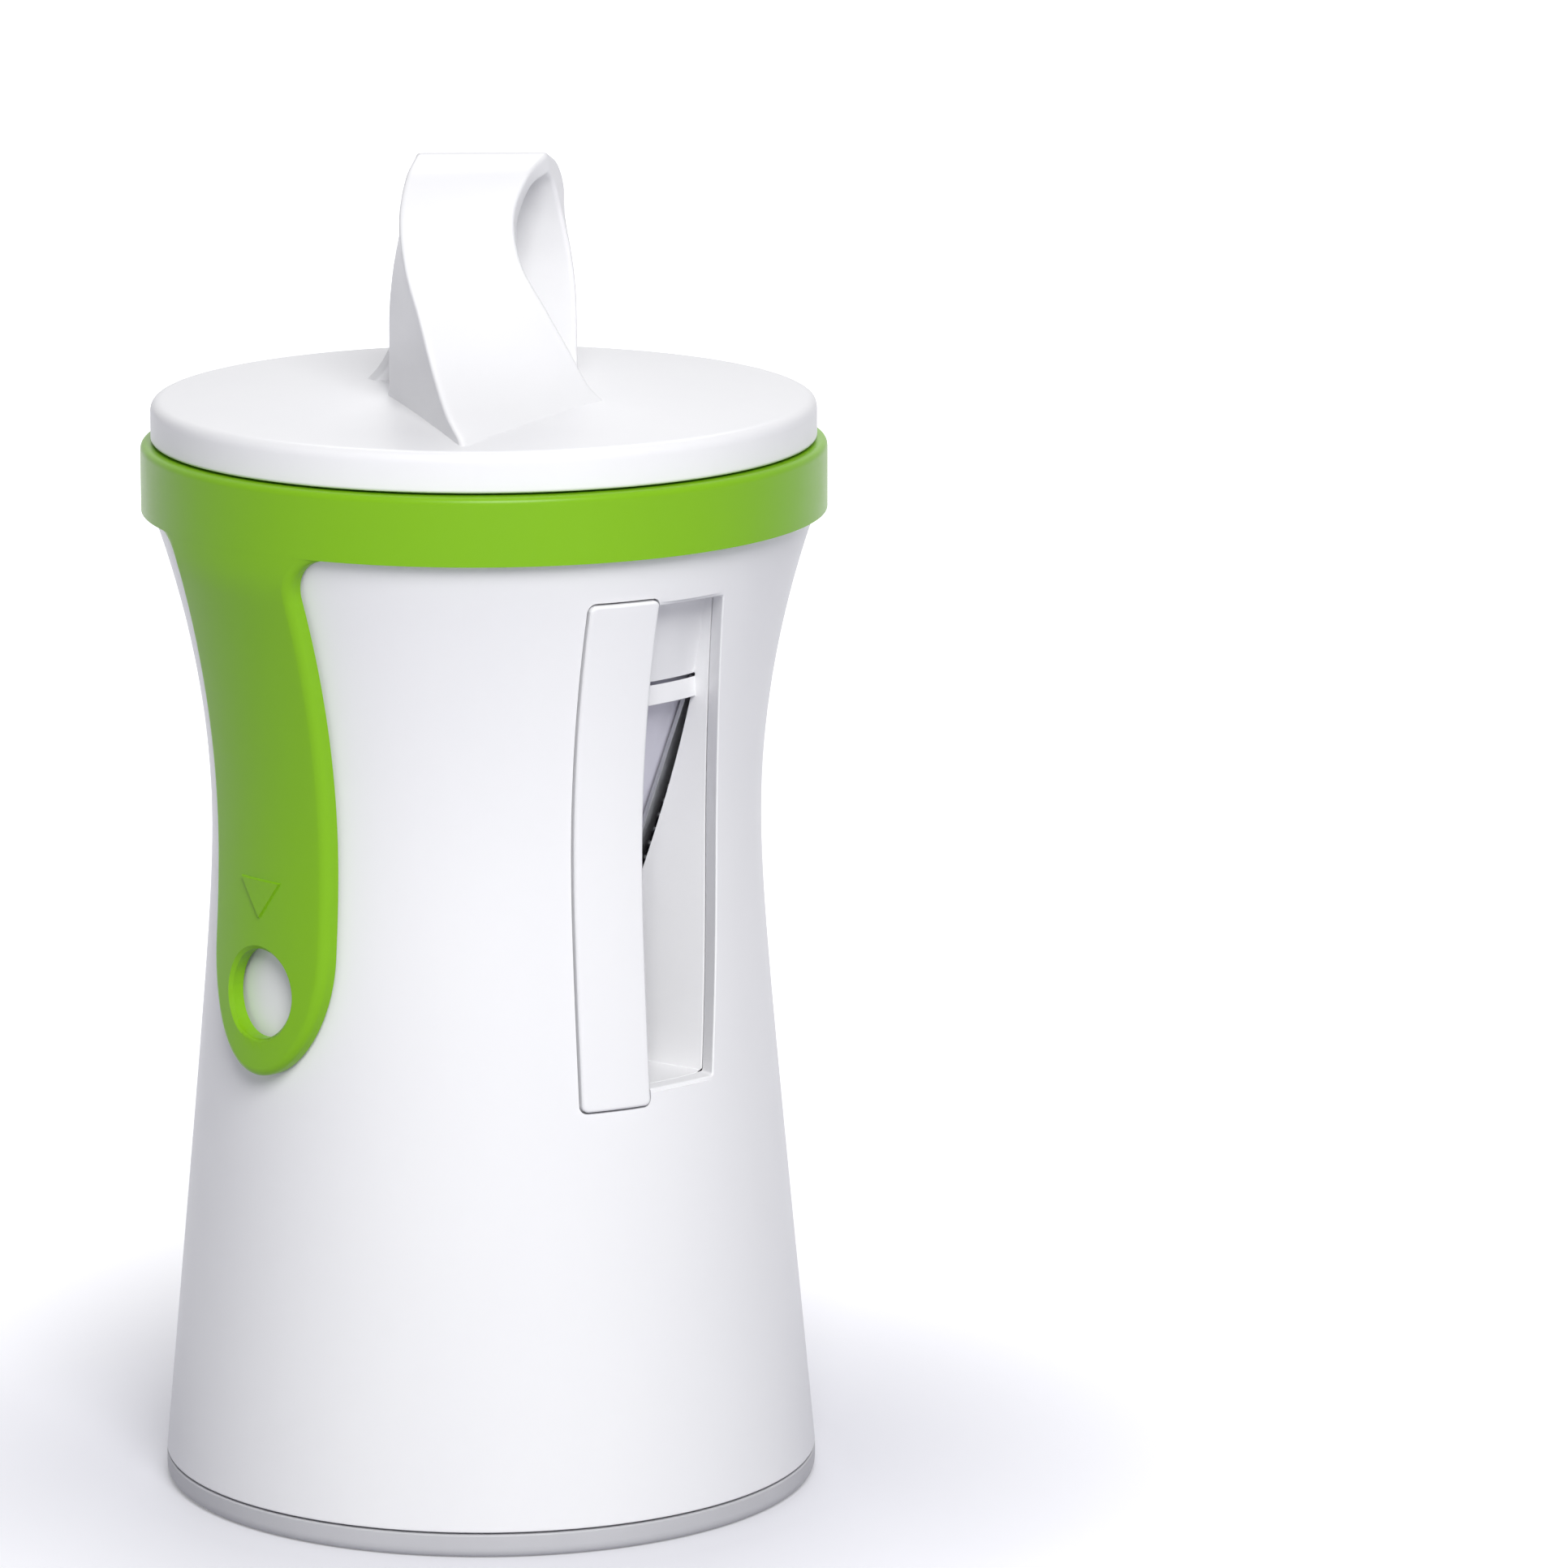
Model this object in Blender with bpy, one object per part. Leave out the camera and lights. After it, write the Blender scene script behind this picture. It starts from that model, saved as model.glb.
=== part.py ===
"""Hand-held hourglass cutter with one knife and a choice of three combs.

The body is an hourglass shell on a foot ring, with a deck across its middle. A fixed funnel with one knife
stands on the deck, beside the chute that leads to the window. A drum with four stations turns round the
funnel, carried by a collar with a long tongue that shows the station. A cap closes the collar's mouth. It has
prongs under it, and is turned by its twisted handle.

Lengths are in metres and Z is up. The origin is the middle of the foot. Bearings round the axis are counted
from -Y towards +X.
"""
import bmesh
import bpy
from math import atan2, cos, hypot, pi, radians, sin, sqrt
from mathutils import Matrix, Vector

for old_object in list(bpy.data.objects):
    bpy.data.objects.remove(old_object)

MM = 0.001

# General fits
SEAT_GAP = 0.3 * MM
RUN_GAP = 0.4 * MM

# How far a cutting tool stands past what it cuts, and a trimmed band past its trim
TOOL_MARGIN = 1.0 * MM
DUCT_MARGIN = 3.0 * MM
BAND_MARGIN = 2.5 * MM

# Body shell
FOOT_HEIGHT = 3.3 * MM
FOOT_ROUNDING = 1.8 * MM
FOOT_SPIGOT_HEIGHT = 5.0 * MM
FOOT_SPIGOT_WALL = 1.6 * MM
WAIST_RADIUS = 37.1 * MM
WAIST_HEIGHT = 92.0 * MM
WAIST_ROUNDNESS = 1.3 * MM
SHOULDER_HEIGHT = 133.5 * MM
SHOULDER_POWER = 1.95
SHELL_WALL = 2.6 * MM
LOWER_WALL = 1.6 * MM
NECK_WALL = 1.1 * MM
NECK_HEIGHT = 3.8 * MM
LEDGE_RISE = 1.0 * MM
DECK_TOP = 58.3 * MM
DECK_THICKNESS = 3.0 * MM

# Selector collar and its tongue
COLLAR_RADIUS = 46.0 * MM
COLLAR_HEIGHT = 9.1 * MM
COLLAR_WALL = 1.2 * MM
COLLAR_TOP_WALL = 1.5 * MM
COLLAR_ROUNDING = 1.0 * MM
SKIRT_WALL = 1.0 * MM
TONGUE_BEARING = radians(-39.0)
TONGUE_HALF_WIDTH = 11.2 * MM
TONGUE_LOW = 62.0 * MM
TONGUE_TIP_LENGTH = 17.0 * MM
TONGUE_THICKNESS = 2.2 * MM
TONGUE_GAP = 0.6 * MM
TONGUE_FILLET = 6.0 * MM
TONGUE_INSET = 0.15 * MM
FINGER_HOLE_HEIGHT = 73.0 * MM
FINGER_HOLE_RADIUS = 6.0 * MM

# Throat bar and window
BAR_BEARING = radians(35.0)
BAR_WIDTH = 10.0 * MM
BAR_LOW = 59.0 * MM
BAR_DROP = 6.0 * MM
BAR_CORNER = 1.6 * MM
BAR_PROUD = 0.6 * MM
BAR_SUNK = 1.2 * MM
BAR_PEG_RADIUS = 1.0 * MM
BAR_PEG_INSET = 8.0 * MM
BAR_PEG_HEAD_RADIUS = 2.0 * MM
BAR_PEG_HEAD_HEIGHT = 0.9 * MM
WINDOW_LOW = 61.0 * MM
WINDOW_DROP = 6.9 * MM
WINDOW_WIDTH = 11.0 * MM
WINDOW_BULGE = 2.4 * MM
WINDOW_UNDERLAP = 0.3 * MM

# Fixed funnel and knife
FUNNEL_LOW_RADIUS = 8.5 * MM
FUNNEL_LOW_HEIGHT = 62.0 * MM
FUNNEL_TOP_DROP = 6.5 * MM
FUNNEL_WALL = 1.5 * MM
FUNNEL_LIP_RISE = 2.0 * MM
FUNNEL_LIP_WIDTH = 1.6 * MM
FUNNEL_TUBE_LENGTH = 4.6 * MM
FUNNEL_FLANGE_RADIUS = 15.0 * MM
FUNNEL_FLANGE_THICKNESS = 2.2 * MM
STATION_BEARING = radians(24.0)
STATION_HALF_ANGLE = radians(12.0)
STATION_LOW = 67.0 * MM
STATION_DROP = 22.5 * MM
STATION_COUNT = 4
STATION_STEP = radians(60.0)
SLOT_WIDTH = 3.0 * MM
KNIFE_WIDTH = 5.0 * MM
KNIFE_THICKNESS = 0.6 * MM
KNIFE_OVERLAP = 0.8 * MM
KNIFE_RIVETS = 3
KNIFE_RIVET_LINE = 3.0 * MM
KNIFE_RIVET_RISE = 8.0 * MM
KNIFE_RIVET_DROP = 5.0 * MM

# Turning drum and combs
DRUM_ROOM = 2.7 * MM
DRUM_WALL = 1.2 * MM
DRUM_RIM_HEIGHT = 3.5 * MM
DRUM_RIM_DROP = 4.6 * MM
DRUM_FLARE_DROP = 2.8 * MM
COMB_THICKNESS = 0.6 * MM
COMB_FRAME = 3.2 * MM
COMB_TOOTH = 0.7 * MM
COMB_PITCHES = {"comb_2mm": 2.0 * MM, "comb_3mm": 3.0 * MM, "comb_5mm": 5.0 * MM}
RIVET_RADIUS = 0.7 * MM
RIVET_HEAD_RADIUS = 1.3 * MM
RIVET_HEAD_HEIGHT = 0.4 * MM
RIVET_HEAD_TAPER = 0.7
RIVET_BITE = 0.5

# Chute
CHUTE_ROOM = 2.1 * MM
HOOD_ROOM = 1.0 * MM
HOOD_SKIN = 0.9 * MM
HOOD_POCKET = 1.1 * MM
CHUTE_WALL = 1.6 * MM
CHUTE_FLOOR = 2.4 * MM
CHUTE_SCREW_BEARING = radians(48.0)
CHUTE_SCREW_REACHES = (21.0 * MM, 31.0 * MM)

# Screws
SCREW_RADIUS = 1.1 * MM
SCREW_HEAD_RADIUS = 2.1 * MM
SCREW_HEAD_HEIGHT = 1.3 * MM
SCREW_HEAD_TAPER = 0.8
SCREW_HEAD_STRAIGHT = 0.6
FUNNEL_SCREW_CIRCLE = 12.3 * MM
FUNNEL_SCREWS = 3

# Cap, guide ring and prongs
CAP_RADIUS = 44.6 * MM
CAP_RIM_HEIGHT = 5.3 * MM
CAP_CROWN = 1.2 * MM
CAP_EDGE_ROUNDING = 1.6 * MM
CAP_PLATE = 2.5 * MM
GUIDE_RING_HEIGHT = 2.6 * MM
GUIDE_RING_WALL = 1.6 * MM
SPIGOT_WALL = 1.5 * MM
SPIGOT_LIP = 0.8 * MM
SPIGOT_LIP_HEIGHT = 1.0 * MM
PLATE_RADIUS = 20.0 * MM
PLATE_THICKNESS = 2.3 * MM
PLATE_SCREW_CIRCLE = 16.8 * MM
PLATE_SCREWS = 3
PLATE_SCREW_REACH = 2.0 * MM
PRONG_CIRCLE = 12.5 * MM
PRONG_COUNT = 6
PRONG_RADIUS = 1.2 * MM
PRONG_LENGTH = 16.0 * MM
PRONG_TIP = 4.5 * MM
PRONG_COLLAR_RADIUS = 2.1 * MM
PRONG_COLLAR_HEIGHT = 0.6 * MM
HANDLE_HEIGHT = 32.9 * MM

# Facets
ROUND = 48
SMALL_ROUND = 10
RIVET_ROUND = 8

# Sizes that follow from the ones above
SHELL_LOW = FOOT_HEIGHT + SEAT_GAP
NECK_RADIUS = COLLAR_RADIUS - COLLAR_WALL - RUN_GAP
NECK_BORE = NECK_RADIUS - NECK_WALL
BASE_RADIUS = NECK_RADIUS
BAR_HIGH = SHOULDER_HEIGHT - BAR_DROP
WINDOW_HIGH = SHOULDER_HEIGHT - WINDOW_DROP
FUNNEL_TOP_HEIGHT = SHOULDER_HEIGHT - FUNNEL_TOP_DROP
STATION_HIGH = SHOULDER_HEIGHT - STATION_DROP
COLLAR_LOW = SHOULDER_HEIGHT + SEAT_GAP
COLLAR_TOP = COLLAR_LOW + COLLAR_HEIGHT
LEDGE_HEIGHT = SHOULDER_HEIGHT + LEDGE_RISE
NECK_TOP = LEDGE_HEIGHT + NECK_HEIGHT
DECK_LOW = DECK_TOP - DECK_THICKNESS
STEP_HEIGHT = DECK_TOP + SEAT_GAP
SKIRT_RADIUS = NECK_BORE - SEAT_GAP
MOUTH_RADIUS = SKIRT_RADIUS - SKIRT_WALL
CAP_LOW = COLLAR_TOP + SEAT_GAP
CAP_TOP = CAP_LOW + CAP_RIM_HEIGHT
FLANGE_LOW = DECK_TOP + SEAT_GAP
FLANGE_TOP = FLANGE_LOW + FUNNEL_FLANGE_THICKNESS
DRUM_LOW = FLANGE_TOP + RUN_GAP
DRUM_RIM_RADIUS = MOUTH_RADIUS - RUN_GAP


def body_radius(height):
    """Outer radius of the hourglass at a height: a hyperbola below the waist, a rising curve above it."""
    if height <= WAIST_HEIGHT:
        growth = BASE_RADIUS - WAIST_RADIUS
        reach = sqrt((growth + WAIST_ROUNDNESS) ** 2 - WAIST_ROUNDNESS ** 2)
        share = (WAIST_HEIGHT - height) / (WAIST_HEIGHT - SHELL_LOW)
        return WAIST_RADIUS - WAIST_ROUNDNESS + hypot(WAIST_ROUNDNESS, reach * share)
    share = min(1.0, (height - WAIST_HEIGHT) / (SHOULDER_HEIGHT - WAIST_HEIGHT))
    return WAIST_RADIUS + (NECK_RADIUS - WAIST_RADIUS) * share ** SHOULDER_POWER


def bore_radius(height):
    return body_radius(height) - SHELL_WALL


def lower_bore(height):
    """Inner radius below the deck, where a thinner wall leaves a step that the deck is pushed up against."""
    return body_radius(height) - LOWER_WALL


# The funnel is as wide as the shell leaves room for, once the drum and the hood are round it.
HOOD_DEPTH = HOOD_ROOM + HOOD_SKIN + HOOD_POCKET
FUNNEL_TOP_RADIUS = (bore_radius(FUNNEL_TOP_HEIGHT) - SEAT_GAP - HOOD_DEPTH
                     - DRUM_WALL - DRUM_ROOM - FUNNEL_WALL)
FUNNEL_SLOPE = (FUNNEL_TOP_RADIUS - FUNNEL_LOW_RADIUS) / (FUNNEL_TOP_HEIGHT - FUNNEL_LOW_HEIGHT)


def funnel_radius(height):
    return FUNNEL_LOW_RADIUS + FUNNEL_SLOPE * (height - FUNNEL_LOW_HEIGHT)


def funnel_face(height):
    return funnel_radius(height) + FUNNEL_WALL


def drum_bore(height):
    return funnel_face(height) + DRUM_ROOM


def drum_face(height):
    return drum_bore(height) + DRUM_WALL


def spaced(low, high, count):
    return [low + (high - low) * step / (count - 1) for step in range(count)]


def polar(bearing, radius, height):
    return Vector((radius * sin(bearing), -radius * cos(bearing), height))


def rounded(centre_r, centre_z, radius, start, end, count=4):
    """Points of an arc in the turning plane. The angles are in degrees from the outward direction."""
    return [(centre_r + radius * cos(radians(angle)), centre_z + radius * sin(radians(angle)))
            for angle in spaced(start, end, count)]


def make_material(name, colour, roughness, metallic=0.0):
    material = bpy.data.materials.new(name)
    material.use_nodes = True
    shader = material.node_tree.nodes["Principled BSDF"]
    shader.inputs["Base Color"].default_value = (*colour, 1.0)
    shader.inputs["Roughness"].default_value = roughness
    shader.inputs["Metallic"].default_value = metallic
    return material


# Finishes: a colour, a roughness and a metallic share
WHITE = (0.86, 0.86, 0.88)
GREEN = (0.21, 0.42, 0.03)
PALE = (0.62, 0.61, 0.70)
GREY = (0.42, 0.42, 0.45)
STEEL = (0.62, 0.63, 0.65)
GLOSS_WHITE = (WHITE, 0.32, 0.0)
GLOSS_GREEN = (GREEN, 0.30, 0.0)
SATIN_PALE = (PALE, 0.42, 0.0)
SATIN_GREY = (GREY, 0.5, 0.0)
BRUSHED_STEEL = (STEEL, 0.28, 1.0)
CUTTER_FINISH = (GREY, 1.0, 0.0)
SHARP_ANGLE = radians(32.0)


def add_object(name, bm, finish):
    """Makes a named object from a bmesh, with its own material."""
    colour, roughness, metallic = finish
    mesh = bpy.data.meshes.new(name)
    bmesh.ops.recalc_face_normals(bm, faces=bm.faces)
    bm.to_mesh(mesh)
    bm.free()
    made = bpy.data.objects.new(name, mesh)
    bpy.context.scene.collection.objects.link(made)
    mesh.materials.append(make_material(name, colour, roughness, metallic))
    mesh.shade_smooth()
    mesh.set_sharp_from_angle(angle=SHARP_ANGLE)
    return made


def turn(bm, profile, steps, centre=(0.0, 0.0)):
    """Spins a closed outline of (radius, height) points round a vertical axis."""
    x, y = centre
    ring = [bm.verts.new((x + radius, y, height)) for radius, height in profile]
    closed = [(ring[i - 1], ring[i]) for i in range(len(ring))
              if profile[i - 1][0] > 0.0 or profile[i][0] > 0.0]
    edges = [bm.edges.new(pair) for pair in closed]
    bmesh.ops.spin(bm, geom=ring + edges, cent=(x, y, 0.0), axis=(0.0, 0.0, 1.0),
                   angle=2.0 * pi, steps=steps, use_merge=True)
    bmesh.ops.remove_doubles(bm, verts=bm.verts, dist=0.001 * MM)


def turned(name, profile, finish, steps=ROUND):
    bm = bmesh.new()
    turn(bm, profile, steps)
    return add_object(name, bm, finish)


def loft(bm, sections):
    """Joins rings of as many points each into one closed skin."""
    rings = [[bm.verts.new(point) for point in section] for section in sections]
    for lower, upper in zip(rings, rings[1:]):
        for i in range(len(lower)):
            bm.faces.new((lower[i - 1], lower[i], upper[i], upper[i - 1]))
    bm.faces.new(rings[0])
    bm.faces.new(rings[-1])


def lofted(name, sections, finish):
    bm = bmesh.new()
    loft(bm, sections)
    return add_object(name, bm, finish)


def combine(target, tool, operation="DIFFERENCE"):
    """Adds an exact Boolean to the target and turns the tool into a guide."""
    modifier = target.modifiers.new(tool.name, "BOOLEAN")
    modifier.operation = operation
    modifier.solver = "EXACT"
    modifier.object = tool
    tool.hide_render = True
    tool.display_type = "WIRE"


def rod(bm, start, end, radius, steps=SMALL_ROUND):
    """A straight round rod between two points."""
    axis = end - start
    place = Matrix.Translation((start + end) / 2.0) @ axis.to_track_quat("Z", "Y").to_matrix().to_4x4()
    bmesh.ops.create_cone(bm, cap_ends=True, segments=steps, radius1=radius, radius2=radius,
                          depth=axis.length, matrix=place)


def stepped_pin(bm, start, direction, steps_along, steps=SMALL_ROUND):
    """A pin of several radii along a direction, as one closed skin: (distance, radius) pairs."""
    frame = direction.to_track_quat("Z", "Y").to_matrix()
    sections = []
    for distance, radius in steps_along:
        sections.append([start + direction * distance
                         + frame @ Vector((radius * cos(angle), radius * sin(angle), 0.0))
                         for angle in [2.0 * pi * k / steps for k in range(steps)]])
    loft(bm, sections)


def cone_normal(bearing):
    """Outward direction square to the funnel's and the drum's sloping wall."""
    tilt = hypot(1.0, FUNNEL_SLOPE)
    return polar(bearing, 1.0 / tilt, -FUNNEL_SLOPE / tilt)


def make_shell():
    outer = [(body_radius(z), z) for z in spaced(SHELL_LOW, SHOULDER_HEIGHT, 13)]
    inner = [(bore_radius(z), z) for z in spaced(SHOULDER_HEIGHT, STEP_HEIGHT, 6)]
    lower = [(lower_bore(z), z) for z in spaced(STEP_HEIGHT, SHELL_LOW, 3)]
    neck = [(NECK_RADIUS, NECK_TOP), (NECK_BORE, NECK_TOP), (NECK_BORE, LEDGE_HEIGHT),
            (bore_radius(SHOULDER_HEIGHT), LEDGE_HEIGHT)]
    return turned("shell", outer + neck + inner + lower, GLOSS_WHITE)


def make_deck():
    bore = funnel_face(FLANGE_LOW) + RUN_GAP
    low_edge = lower_bore(DECK_LOW) - SEAT_GAP
    top_edge = lower_bore(DECK_TOP) - SEAT_GAP
    return turned("deck", [(bore, DECK_LOW), (low_edge, DECK_LOW), (top_edge, DECK_TOP), (bore, DECK_TOP)],
                  GLOSS_WHITE)


def bar_frame():
    """Turns the throat bar's own frame (x across it, -y outwards) to its bearing."""
    return Matrix.Rotation(BAR_BEARING, 4, "Z")


def upright_prism(name, outline, depth_near, depth_far, place):
    """An outline of (x, z) points carried inwards from one depth (-y) to another."""
    sections = [[place @ Vector((x, -depth, z)) for x, z in outline] for depth in (depth_near, depth_far)]
    return lofted(name, sections, CUTTER_FINISH)


def bar_outline(margin):
    """The rounded outline of the throat bar, grown by a margin."""
    half = BAR_WIDTH / 2.0 + margin
    corner = BAR_CORNER + margin
    points = []
    for side_x, side_z, start in ((1, 1, 0), (-1, 1, 90), (-1, -1, 180), (1, -1, 270)):
        centre_z = (BAR_HIGH + margin - corner) if side_z > 0 else (BAR_LOW - margin + corner)
        points += rounded(side_x * (half - corner), centre_z, corner, start, start + 90)
    return points


def meridian_band(name, bearing, half_angle, inner, outer, heights, across, finish):
    """A strip of the turned body between two radii: functions of height, over a range of bearings."""
    sections = []
    angles = spaced(bearing - half_angle, bearing + half_angle, across)
    for z in heights:
        sections.append([polar(angle, outer(z), z) for angle in angles]
                        + [polar(angle, inner(z), z) for angle in reversed(angles)])
    return lofted(name, sections, finish)


def band_angle(half_width):
    """Half the range of bearings of a band that is trimmed to a width anywhere on the body."""
    return (half_width + BAND_MARGIN) / WAIST_RADIUS


def make_throat_bar():
    heights = spaced(BAR_LOW - TOOL_MARGIN, BAR_HIGH + TOOL_MARGIN, 12)
    bar = meridian_band("throat_bar", BAR_BEARING, band_angle(BAR_WIDTH / 2.0),
                        lambda z: body_radius(z) - BAR_SUNK,
                        lambda z: body_radius(z) + BAR_PROUD, heights, 7, GLOSS_WHITE)
    trim = upright_prism("bar_trim", bar_outline(0.0), WAIST_RADIUS / 2.0, 2.0 * WAIST_RADIUS, bar_frame())
    combine(bar, trim, "INTERSECT")
    pegs = bmesh.new()
    outward = polar(BAR_BEARING, 1.0, 0.0)
    for height in peg_heights():
        base = polar(BAR_BEARING, 0.0, height)
        reach = BAR_PEG_HEAD_RADIUS
        inside = min(bore_radius(height - reach), bore_radius(height + reach)) - RUN_GAP
        stepped_pin(pegs, base, outward,
                    [(inside - BAR_PEG_HEAD_HEIGHT, BAR_PEG_HEAD_RADIUS), (inside, BAR_PEG_HEAD_RADIUS),
                     (inside, BAR_PEG_RADIUS), (body_radius(height) - BAR_SUNK / 2.0, BAR_PEG_RADIUS)])
    combine(bar, add_object("bar_pegs", pegs, CUTTER_FINISH), "UNION")
    return bar


def peg_heights():
    return (BAR_LOW + BAR_PEG_INSET, BAR_HIGH - BAR_PEG_INSET)


def cut_shell_for_bar(shell):
    heights = spaced(BAR_LOW - TOOL_MARGIN, BAR_HIGH + TOOL_MARGIN, 12)
    pocket = meridian_band("bar_pocket", BAR_BEARING, band_angle(BAR_WIDTH / 2.0),
                           lambda z: body_radius(z) - BAR_SUNK - SEAT_GAP,
                           lambda z: body_radius(z) + TOOL_MARGIN, heights, 7, CUTTER_FINISH)
    trim = upright_prism("bar_pocket_trim", bar_outline(SEAT_GAP), WAIST_RADIUS / 2.0,
                         2.0 * WAIST_RADIUS, bar_frame())
    combine(pocket, trim, "INTERSECT")
    combine(shell, pocket)
    holes = bmesh.new()
    for height in peg_heights():
        rod(holes, polar(BAR_BEARING, bore_radius(height) - TOOL_MARGIN, height),
            polar(BAR_BEARING, body_radius(height), height), BAR_PEG_RADIUS + SEAT_GAP)
    combine(shell, add_object("bar_peg_holes", holes, CUTTER_FINISH))


def window_left():
    return BAR_WIDTH / 2.0 - WINDOW_UNDERLAP


def window_right(height):
    """How far the window reaches across from the bar's middle: it bulges between its two ends."""
    share = (height - WINDOW_LOW) / (WINDOW_HIGH - WINDOW_LOW)
    return BAR_WIDTH / 2.0 + WINDOW_WIDTH + WINDOW_BULGE * sin(pi * min(1.0, max(0.0, share)))


def cut_shell_for_window(shell):
    right = [(window_right(z), z) for z in spaced(WINDOW_LOW, WINDOW_HIGH, 9)]
    outline = [(window_left(), WINDOW_LOW)] + right + [(window_left(), WINDOW_HIGH)]
    tool = upright_prism("window_cut", outline, WAIST_RADIUS / 2.0, 2.0 * WAIST_RADIUS, bar_frame())
    combine(shell, tool)


def make_foot_ring():
    spigot_top = SHELL_LOW + FOOT_SPIGOT_HEIGHT
    spigot = lower_bore(spigot_top) - SEAT_GAP
    inner = spigot - FOOT_SPIGOT_WALL
    low_edge = rounded(BASE_RADIUS - FOOT_ROUNDING, FOOT_ROUNDING, FOOT_ROUNDING, -90, 0)
    profile = [(inner, 0.0)] + low_edge + [(BASE_RADIUS, FOOT_HEIGHT), (spigot, FOOT_HEIGHT),
                                           (spigot, spigot_top), (inner, spigot_top)]
    return turned("foot_ring", profile, SATIN_GREY)


def make_collar():
    outer_low = [(COLLAR_RADIUS - COLLAR_WALL, COLLAR_LOW), (COLLAR_RADIUS, COLLAR_LOW)]
    top_outer = rounded(COLLAR_RADIUS - COLLAR_ROUNDING, COLLAR_TOP - COLLAR_ROUNDING, COLLAR_ROUNDING, 0, 90)
    skirt = [(MOUTH_RADIUS, COLLAR_TOP), (MOUTH_RADIUS, LEDGE_HEIGHT + SEAT_GAP),
             (SKIRT_RADIUS, LEDGE_HEIGHT + SEAT_GAP), (SKIRT_RADIUS, COLLAR_TOP - COLLAR_TOP_WALL),
             (COLLAR_RADIUS - COLLAR_WALL, COLLAR_TOP - COLLAR_TOP_WALL)]
    collar = turned("selector_collar", outer_low + top_outer + skirt, GLOSS_GREEN)
    combine(collar, make_tongue(), "UNION")
    return collar


def tongue_outline():
    """The tongue seen square on: (across, height), with an elliptic tip and fillets up at the collar."""
    tip_centre = TONGUE_LOW + TONGUE_TIP_LENGTH
    tip = [(TONGUE_HALF_WIDTH * cos(radians(angle)), tip_centre + TONGUE_TIP_LENGTH * sin(radians(angle)))
           for angle in spaced(-180.0, 0.0, 15)]
    fillet_x = TONGUE_HALF_WIDTH + TONGUE_FILLET
    fillet_z = COLLAR_LOW - TONGUE_FILLET
    right = rounded(fillet_x, fillet_z, TONGUE_FILLET, 180, 90)
    left = [(-x, z) for x, z in reversed(right)]
    high = COLLAR_LOW + COLLAR_HEIGHT / 2.0
    return tip + right + [(fillet_x, high), (-fillet_x, high)] + left


def make_tongue():
    place = Matrix.Rotation(TONGUE_BEARING, 4, "Z")
    heights = spaced(TONGUE_LOW - TOOL_MARGIN, COLLAR_LOW, 15)

    def back(z):
        return body_radius(z) + TONGUE_GAP if z < COLLAR_LOW else COLLAR_RADIUS - COLLAR_WALL + TONGUE_INSET

    def front(z):
        return min(back(z) + TONGUE_THICKNESS, COLLAR_RADIUS - TONGUE_INSET)

    middle = COLLAR_LOW + COLLAR_HEIGHT / 2.0
    half_angle = band_angle(TONGUE_HALF_WIDTH + TONGUE_FILLET)
    tongue = meridian_band("tongue", TONGUE_BEARING, half_angle, back, front, heights + [middle], 17,
                           GLOSS_GREEN)
    trim = upright_prism("tongue_trim", tongue_outline(), WAIST_RADIUS / 2.0, 2.0 * COLLAR_RADIUS, place)
    combine(tongue, trim, "INTERSECT")
    hole = bmesh.new()
    rod(hole, polar(TONGUE_BEARING, WAIST_RADIUS / 2.0, FINGER_HOLE_HEIGHT),
        polar(TONGUE_BEARING, COLLAR_RADIUS + TOOL_MARGIN, FINGER_HOLE_HEIGHT), FINGER_HOLE_RADIUS, steps=24)
    combine(tongue, add_object("finger_hole", hole, CUTTER_FINISH))
    return tongue


def circle_places(count, radius, start=0.0):
    return [polar(start + 2.0 * pi * k / count, radius, 0.0) for k in range(count)]


def screws(name, places, seat, tip):
    """Screws that point up from below a seat: each head hangs under it and each shank ends at the tip."""
    for number, place in enumerate(places, start=1):
        bm = bmesh.new()
        stepped_pin(bm, place, Vector((0.0, 0.0, 1.0)),
                    [(seat - SCREW_HEAD_HEIGHT, SCREW_HEAD_TAPER * SCREW_HEAD_RADIUS),
                     (seat - SCREW_HEAD_STRAIGHT * SCREW_HEAD_HEIGHT, SCREW_HEAD_RADIUS),
                     (seat, SCREW_HEAD_RADIUS), (seat, SCREW_RADIUS), (tip, SCREW_RADIUS)])
        add_object(name + "_" + str(number), bm, BRUSHED_STEEL)


def screw_holes(name, places, low, high):
    bm = bmesh.new()
    for place in places:
        rod(bm, place + Vector((0.0, 0.0, low)), place + Vector((0.0, 0.0, high)), SCREW_RADIUS + SEAT_GAP)
    return add_object(name, bm, CUTTER_FINISH)


def make_funnel():
    low = FLANGE_LOW - FUNNEL_TUBE_LENGTH
    lip = FUNNEL_TOP_HEIGHT + FUNNEL_LIP_RISE
    profile = [(funnel_radius(low), low), (funnel_face(low), low), (funnel_face(FLANGE_LOW), FLANGE_LOW),
               (FUNNEL_FLANGE_RADIUS, FLANGE_LOW), (FUNNEL_FLANGE_RADIUS, FLANGE_TOP),
               (funnel_face(FLANGE_TOP), FLANGE_TOP), (funnel_face(FUNNEL_TOP_HEIGHT), FUNNEL_TOP_HEIGHT),
               (funnel_face(lip) + FUNNEL_LIP_WIDTH, lip), (funnel_radius(lip), lip)]
    funnel = turned("funnel", profile, GLOSS_WHITE)
    half = SLOT_WIDTH / 2.0
    slot = [(-half, STATION_LOW), (half, STATION_LOW), (half, STATION_HIGH), (-half, STATION_HIGH)]
    combine(funnel, upright_prism("funnel_slot", slot, 0.5 * funnel_radius(STATION_LOW), COLLAR_RADIUS,
                                  Matrix.Rotation(STATION_BEARING, 4, "Z")))
    return funnel


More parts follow.
